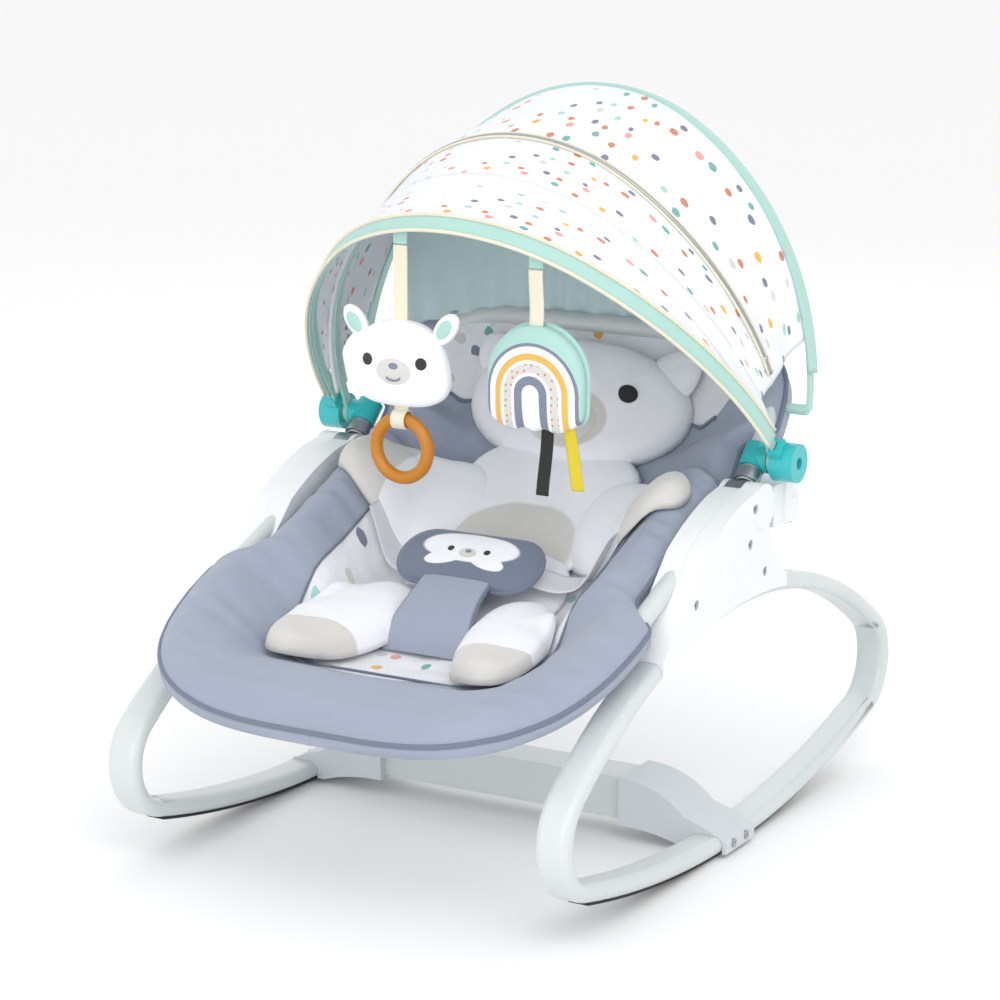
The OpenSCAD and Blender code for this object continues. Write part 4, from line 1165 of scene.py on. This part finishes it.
@dataclass
class Canopy:
    """Panels, sleeves, zip and rear curtain; lengths in mm."""

    piping: float = 9.0
    zip_start: float = 0.08
    curtain_half: float = 200.0
    between: Ride = (
        "canopy_middle", "canopy_front", tuple(MIDDLE.at(0.5, 0) * MM), tuple(FRONT.at(0.5, 0) * MM),
    )
    behind: Ride = (
        "backrest", "canopy_middle", tuple(REAR.at(0.5, 0) * MM), tuple(MIDDLE.at(0.5, 0) * MM),
    )

    @staticmethod
    def panel(shop: Workshop, name: str, node: str, edges: tuple[Hoop, Hoop], ride: Ride, sag: float,
              rows: int) -> None:
        """Makes one dotted panel between two hoops.

        Args:
            shop: Where it is made.
            name: The piece's name.
            node: The CAD node it stands for.
            edges: The hoops at its front and rear edges.
            ride: The (body, body, start, end) tuple passed to the workshop, which leaves the panel on no
                body.
            sag: How far it dips between the hoops, mm.
            rows: Squares between the hoops.
        """

        def place(u: float, v: float, side: float) -> Vector:
            """Returns a point of the panel: u from foot to foot, v to the rear."""
            t, s = 0.5 + 0.43 * u, (v + 1) / 2
            low = abs(u) ** 2.5
            wave = ripple(u * 9, s * 2.2, len(name)) * (1.2 + 3.4 * low) * math.sin(math.pi * s) ** 0.7
            out = 2.8 - sag * math.sin(math.pi * s) + wave - side * 0.7
            return edges[0].toward(edges[1], s).at(t, out)

        bm = shop.grid(150, rows, place, lambda u, v: (u * 420, v * 80))
        made = shop.finish(bm, name, "dotted", ride, "canopy_fabric", replaces=(node,))
        wide = length_of([place(u, 0.0, 0.0) for u in steps(-1, 1, 80)])
        high = length_of([place(0.0, v, 0.0) for v in steps(-1, 1, 40)])
        high * MM
        wide * MM

    @staticmethod
    def band(shop: Workshop, name: str, hoop: Hoop, half: float, out: float, finish: str, ride: Ride,
             slot: str) -> None:
        """Makes a flat sleeve wrapped over a hoop, half its width and out outside the hoop's curve."""

        def place(u: float, v: float, side: float) -> Vector:
            """Returns a point of the sleeve: u from foot to foot, v across it."""
            return hoop.at(0.5 + 0.465 * u, out + (1 - v * v) * 0.5 - side * (out + 3.4) * 0.5, v * half)

        bm = shop.grid(140, 6, place, lambda u, v: (u * 420, v * half))
        shop.finish(bm, name, finish, ride, slot)

    def build(self, shop: Workshop) -> None:
        """Makes all the canopy's cloth."""
        front = (FRONT.toward(MIDDLE, 0.02), FRONT.toward(MIDDLE, 0.98))
        casing = (MIDDLE.toward(REAR, 0.01), SEAM)
        rear = (MIDDLE.toward(REAR, 0.3), MIDDLE.toward(REAR, 0.985))
        self.panel(shop, "front_panel", "front_canopy", front, self.between, 2.0, 24)
        self.panel(shop, "casing_panel", "middle_canopy", casing, self.behind, 1.5, 20)
        self.panel(shop, "rear_panel", "rear_canopy", rear, self.behind, 5.0, 50)
        self.band(shop, "front_binding", FRONT, 7.8, 3.4, "mint", "canopy_front", "mint_tape")
        self.band(shop, "middle_casing", MIDDLE, 10, 3.6, "shell", "canopy_middle", "canopy_fabric")
        self.band(shop, "rear_binding", REAR, 8.2, 3.6, "mint", "backrest", "mint_tape")
        for k, shift in enumerate((-self.piping, self.piping)):
            piping = shop.rope(FRONT.line(0.04, 0.96, 120, 3.6, shift), 1.7, 8)
            shop.finish(piping, f"front_piping_{k}", "cream", "canopy_front", "cream_ribbon")
        self.zip(shop)
        self.curtain(shop)

    def zip(self, shop: Workshop) -> None:
        """Makes the zip's two tapes, its teeth and a pull at each end."""
        ends = (self.zip_start, 1 - self.zip_start, 120)
        for k, shift in enumerate((-3.6, 3.6)):
            tape = shop.rope(SEAM.line(*ends, 3.8, shift), 1.4, 6, flat=0.7)
            shop.finish(tape, f"zip_tape_{k}", "cream", self.behind, "cream_ribbon")
        teeth = shop.rope(SEAM.line(*ends, 4.0), 1.5, 6, flat=0.6)
        shop.finish(teeth, "zip_teeth", "gold", self.behind, "cream_ribbon")
        for side in (0.1, 0.9):
            path = [SEAM.at(side, 5.5) + Vector((0, 0, -k * 5.0)) for k in range(4)]
            pull = shop.rope(path, 2.2, 8, flat=0.4)
            shop.finish(pull, f"zip_pull_{int(side * 10)}", "gold", self.behind, "cream_ribbon")

    def curtain(self, shop: Workshop) -> None:
        """Makes the gathered cloth between the headrest's top and the rear hoop."""

        def place(u: float, v: float, side: float) -> Vector:
            """Returns a point of the curtain: u across, v upwards."""
            t = (v + 1) / 2
            lower = BACK.at_plane(u * self.curtain_half, 182 - 70 * abs(u) ** 3, -2 - 8 * abs(u))
            upper = REAR.at(0.5 - 0.375 * u, -3)
            fold = math.sin(u * 46 + ripple(u * 3, t, 2) * 3) * 2.6 * (1 - t * 0.75)
            return lower.lerp(upper, t) + Vector((0, fold + 6 * math.sin(math.pi * t) + side * 0.8, 0))

        bm = shop.grid(180, 36, place, lambda u, v: (u * 220, v * 120))
        shop.finish(bm, "rear_curtain_cloth", "curtain", "backrest", "canopy_fabric")


@dataclass
class Toys:
    """The bear with its ring, and the rainbow with its tails, in mm."""

    bear: Spot = (-41.0, -136.902, 449.38)
    bow: Spot = (90.0, -124.038, 443.585)

    @staticmethod
    def stuffed(centre: Spot, outline: Outline, thick: float, scale: float = 1.0) -> bmesh.types.BMesh:
        """Makes a flat stuffed toy facing the feet end.

        Args:
            centre: Its middle, mm.
            outline: Gives its outline's radius in mm at an angle.
            thick: Its thickness, mm.
            scale: Grows or shrinks the outline.

        Returns:
            The shape in mm.
        """
        bm = bmesh.new()
        bmesh.ops.create_uvsphere(bm, u_segments=84, v_segments=32, radius=1.0)
        own = {}
        for vert in bm.verts:
            a, r = math.atan2(vert.co.y, vert.co.x), min(1.0, math.hypot(vert.co.x, vert.co.y))
            reach = outline(a) * r * scale
            z = math.copysign(abs(vert.co.z) ** 0.6, vert.co.z) * thick / 2
            seam = ripple(a * 7, 1.0, centre[0]) * 0.5 * max(0.0, r - 0.8) * 5
            x, y = reach * math.cos(a), reach * math.sin(a)
            own[vert.index] = (x, y)
            vert.co = Vector((centre[0] + x, centre[1] - z - seam, centre[2] + y))
        lay_flat(bm, lambda vert: own[vert.index])
        return bm

    @staticmethod
    def bear_outline(a: float) -> float:
        """Returns the bear's radius at an angle: a wide jaw under a round crown."""
        c, s = math.cos(a), math.sin(a)
        rx, ry = (46 + 7 * ease(-s + 0.4)), (38 if s > 0 else 40)
        n = 2.3 if s > 0 else 3.0
        return (abs(c / rx) ** n + abs(s / ry) ** n) ** (-1 / n)

    @staticmethod
    def bow_outline(a: float) -> float:
        """Returns the rainbow's radius at an angle: a round top over a square foot."""
        c, s = math.cos(a), math.sin(a)
        n = 2.0 if s > 0 else 5.0
        ry = 48.0 if s > 0 else 45 + 1.5 * math.cos(c * 14)
        return (abs(c / 48) ** n + abs(s / ry) ** n) ** (-1 / n)

    def build(self, shop: Workshop) -> None:
        """Makes both toys, their ribbons and tails."""
        self.build_bear(shop)
        self.build_rainbow(shop)

    def build_bear(self, shop: Workshop) -> None:
        """Makes the bear's head, ears and mouth."""
        x, y, z = self.bear
        head = self.stuffed(self.bear, self.bear_outline, 28)
        shop.finish(head, "bear_soft", "bear", "bear", "white_plush", replaces=("bear_toy",))
        layers = ((1.0, "plush", 0.0, 9), (0.62, "mint", -3.2, 5))
        for side, tag in SIDES:
            for k, (grow, finish, dy, thick) in enumerate(layers):
                tilted = partial(self.ear_outline, side * 0.68)
                ear = self.stuffed((x + side * 47, y + dy, z + 33), tilted, thick, grow)
                shop.finish(ear, f"bear_ear_{tag}_{k}", finish, "bear", "white_plush")
        turns = [i / 10 * math.pi - math.pi / 2 for i in range(11)]
        mouth = [Vector((x + 7 * math.sin(a), y - 14.2, z - 12 - 3 * math.cos(a))) for a in turns]
        shop.finish(shop.rope(mouth, 0.7, 6), "bear_mouth", "dark", "bear", "white_plush")

    @staticmethod
    def ear_outline(lean: float, a: float) -> float:
        """Returns a leaning ear's radius at an angle."""
        return egg(10.0, 17.0)(a + lean)

    def build_rainbow(self, shop: Workshop) -> None:
        """Makes the rainbow, its backing, its ribbon and its tails."""
        x, y, z = self.bow
        face = self.stuffed(self.bow, self.bow_outline, 22)
        shop.finish(face, "rainbow_soft", "rainbow", "rainbow", "white_plush", replaces=("rainbow_toy",))
        ribbon = self.strip((x, y, z + 46), (x, y, z + 96.8), 14, shop)
        shop.finish(ribbon, "rainbow_ribbon", "cream", "rainbow", "cream_ribbon")
        back = self.stuffed((x, y + 8, z + 1), self.bow_outline, 9, 1.035)
        shop.finish(back, "rainbow_backing", "mint", "rainbow", "white_plush")
        dark = self.strip((x + 12, y, z - 40), (x + 10, y - 5, z - 102), 12, shop)
        shop.finish(dark, "tail_dark", "black", "rainbow", "dark_ribbon", replaces=("rainbow_tails",))
        yellow = self.strip((x + 32, y, z - 38), (x + 42, y + 2, z - 96), 12, shop)
        shop.finish(yellow, "tail_yellow", "yellow", "rainbow", "cream_ribbon")

    @staticmethod
    def strip(start: Spot, end: Spot, wide: float, shop: Workshop) -> bmesh.types.BMesh:
        """Returns the shape of a short ribbon from start to end."""

        def place(u: float, v: float, side: float) -> Vector:
            """Returns a point of the ribbon: u across, v along it."""
            t = (v + 1) / 2
            point = Vector(start).lerp(Vector(end), t)
            return point + Vector((u * wide / 2, -0.7 + 1.4 * side + math.sin(t * 5) * 1.2, 0))

        return shop.grid(6, 26, place, lambda u, v: (u * wide / 2, v * 30))


@dataclass(frozen=True)
class Fitting:
    """A hard CAD node, or a left and right pair, shown as a softened copy."""

    node: str
    finish: str
    slot: str
    bevel: float
    paired: bool = True

    def build(self, shop: Workshop) -> None:
        """Copies the node or the pair."""
        for name in (f"left_{self.node}", f"right_{self.node}") if self.paired else (self.node,):
            shop.hard_copy(name, self.finish, self.slot, self.bevel)


FITTINGS = (
    Fitting("front_tube", "enamel", "frame_enamel", 0.0),
    Fitting("rocker_tube", "enamel", "frame_enamel", 0.0),
    Fitting("antislip_strip", "rubber", "rubber", 0.8),
    Fitting("joint_sleeves", "steel", "bare_steel", 0.0, paired=False),
    Fitting("crossbar_tube", "enamel", "frame_enamel", 0.8, paired=False),
    Fitting("crossbar_clamp", "clamp", "clamp_plastic", 0.9),
    Fitting("clamp_screws", "steel", "bare_steel", 0.2, paired=False),
    Fitting("bracket_outer", "bracket", "pale_plastic", 1.1),
    Fitting("bracket_inner", "bracket", "pale_plastic", 0.9),
    Fitting("bracket_screws", "steel", "bare_steel", 0.2, paired=False),
    Fitting("recline_pin", "steel", "bare_steel", 0.2),
    Fitting("seat_frame_tube", "enamel", "bare_steel", 0.0, paired=False),
    Fitting("buckle_housing", "buckle", "buckle_plastic", 0.8, paired=False),
    Fitting("buckle_button", "button", "button_plastic", 0.6, paired=False),
    Fitting("buckle_tongues", "buckle", "buckle_plastic", 0.3, paired=False),
    Fitting("recline_arm", "steel", "bare_steel", 0.4),
    Fitting("lock_housing", "bracket", "pale_plastic", 1.0),
    Fitting("recline_lever", "lever", "lever_plastic", 0.6),
    Fitting("lever_pins", "steel", "bare_steel", 0.2, paired=False),
    Fitting("lever_springs", "steel", "bare_steel", 0.0, paired=False),
    Fitting("backrest_tube", "enamel", "bare_steel", 0.0, paired=False),
    Fitting("pod_clip", "teal", "teal_plastic", 0.5),
    Fitting("pivot_pin", "steel", "bare_steel", 0.2),
    Fitting("rear_hoop", "hoop", "hoop_plastic", 0.0, paired=False),
    Fitting("middle_hoop", "hoop", "hoop_plastic", 0.0, paired=False),
    Fitting("front_hoop", "hoop", "hoop_plastic", 0.0, paired=False),
    Fitting("pod", "teal", "teal_plastic", 2.2),
    Fitting("teether_ring", "amber", "amber_plastic", 0.0, paired=False),
    Fitting("toy_loops", "mint", "mint_tape", 0.0, paired=False),
    Fitting("toy_ribbons", "cream", "cream_ribbon", 0.0, paired=False),
)


# ---------------------------------------------------------------- studio


@dataclass(frozen=True)
class Lamp:
    """A soft square light: place in metres, power in watts, side in metres."""

    name: str
    place: Spot
    watts: float
    side: float

    def build(self) -> None:
        """Makes the light, turned to the seat."""
        light = bpy.data.lights.new(self.name, "AREA")
        light.energy, light.size = self.watts, self.side
        made = bpy.data.objects.new(self.name, light)
        made.location = self.place
        made.rotation_euler = (Vector((0, 0, 0.3)) - Vector(self.place)).to_track_quat("-Z", "Y").to_euler()
        bpy.context.scene.collection.objects.link(made)


@dataclass(frozen=True)
class Studio:
    """Pale floor, soft lights and the camera; angles in degrees, lengths in metres."""

    azimuth: float = 30.11
    height: float = 13.0
    lens: float = 108.0
    camera_place: Spot = (1.3588, -2.3749, 0.9316)
    floor_half: float = 12.0
    floor_drop: float = 0.0006
    lamps: tuple[Lamp, ...] = (
        Lamp("key", (1.9, -1.6, 2.6), 26, 2.2),
        Lamp("front", (0.3, -2.8, 1.0), 16, 1.6),
        Lamp("rim", (-0.6, 2.4, 2.2), 8, 2.0),
    )

    def build(self) -> None:
        """Makes the floor, world, lights and camera."""
        self.floor()
        world = bpy.data.worlds.new("studio")
        world.use_nodes = True
        sky = world.node_tree.nodes["Background"].inputs
        sky["Color"].default_value = (1.0, 1.0, 1.0, 1.0)
        sky["Strength"].default_value = 1.0
        bpy.context.scene.world = world
        for lamp in self.lamps:
            lamp.build()
        self.camera()
        bpy.context.scene.view_settings.view_transform = "Standard"

    def floor(self) -> None:
        """Makes the floor, just under the rails."""
        mesh = bpy.data.meshes.new("floor")
        bm = bmesh.new()
        bmesh.ops.create_grid(bm, x_segments=1, y_segments=1, size=self.floor_half)
        bm.to_mesh(mesh)
        bm.free()
        made = bpy.data.objects.new("floor", mesh)
        made.location = (0, 0, -self.floor_drop)
        bench = Bench("studio_floor")
        bench.feed(bench.shader.inputs["Base Color"], (0.93, 0.93, 0.93))
        bench.feed(bench.shader.inputs["Roughness"], 0.7)
        mesh.materials.append(bench.material)
        bpy.context.scene.collection.objects.link(made)

    def camera(self) -> None:
        """Makes the camera in front of the seat's right side."""
        a, e = math.radians(self.azimuth), math.radians(self.height)
        back = Vector((math.sin(a) * math.cos(e), -math.cos(a) * math.cos(e), math.sin(e)))
        across = Vector((math.cos(a), math.sin(a), 0))
        up = back.cross(across)
        lens = bpy.data.cameras.new("camera")
        lens.lens, lens.sensor_width = self.lens, 36
        made = bpy.data.objects.new("camera", lens)
        made.matrix_world = Matrix((across, up, back)).transposed().to_4x4()
        made.location = self.camera_place
        bpy.context.scene.collection.objects.link(made)
        bpy.context.scene.camera = made


def main() -> None:
    """Builds the looks round the frame."""
    logging.basicConfig(level=logging.INFO, format="%(message)s")
    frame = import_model()
    shop = Workshop(frame, Finishes())
    for part in (*FITTINGS, SeatCover(), BackCover(), PlushLiner(), Harness(), Canopy(), Toys()):
        part.build(shop)
    Studio().build()
    LOG.info("%d pieces", shop.count)


if __name__ == "__main__":
    main()
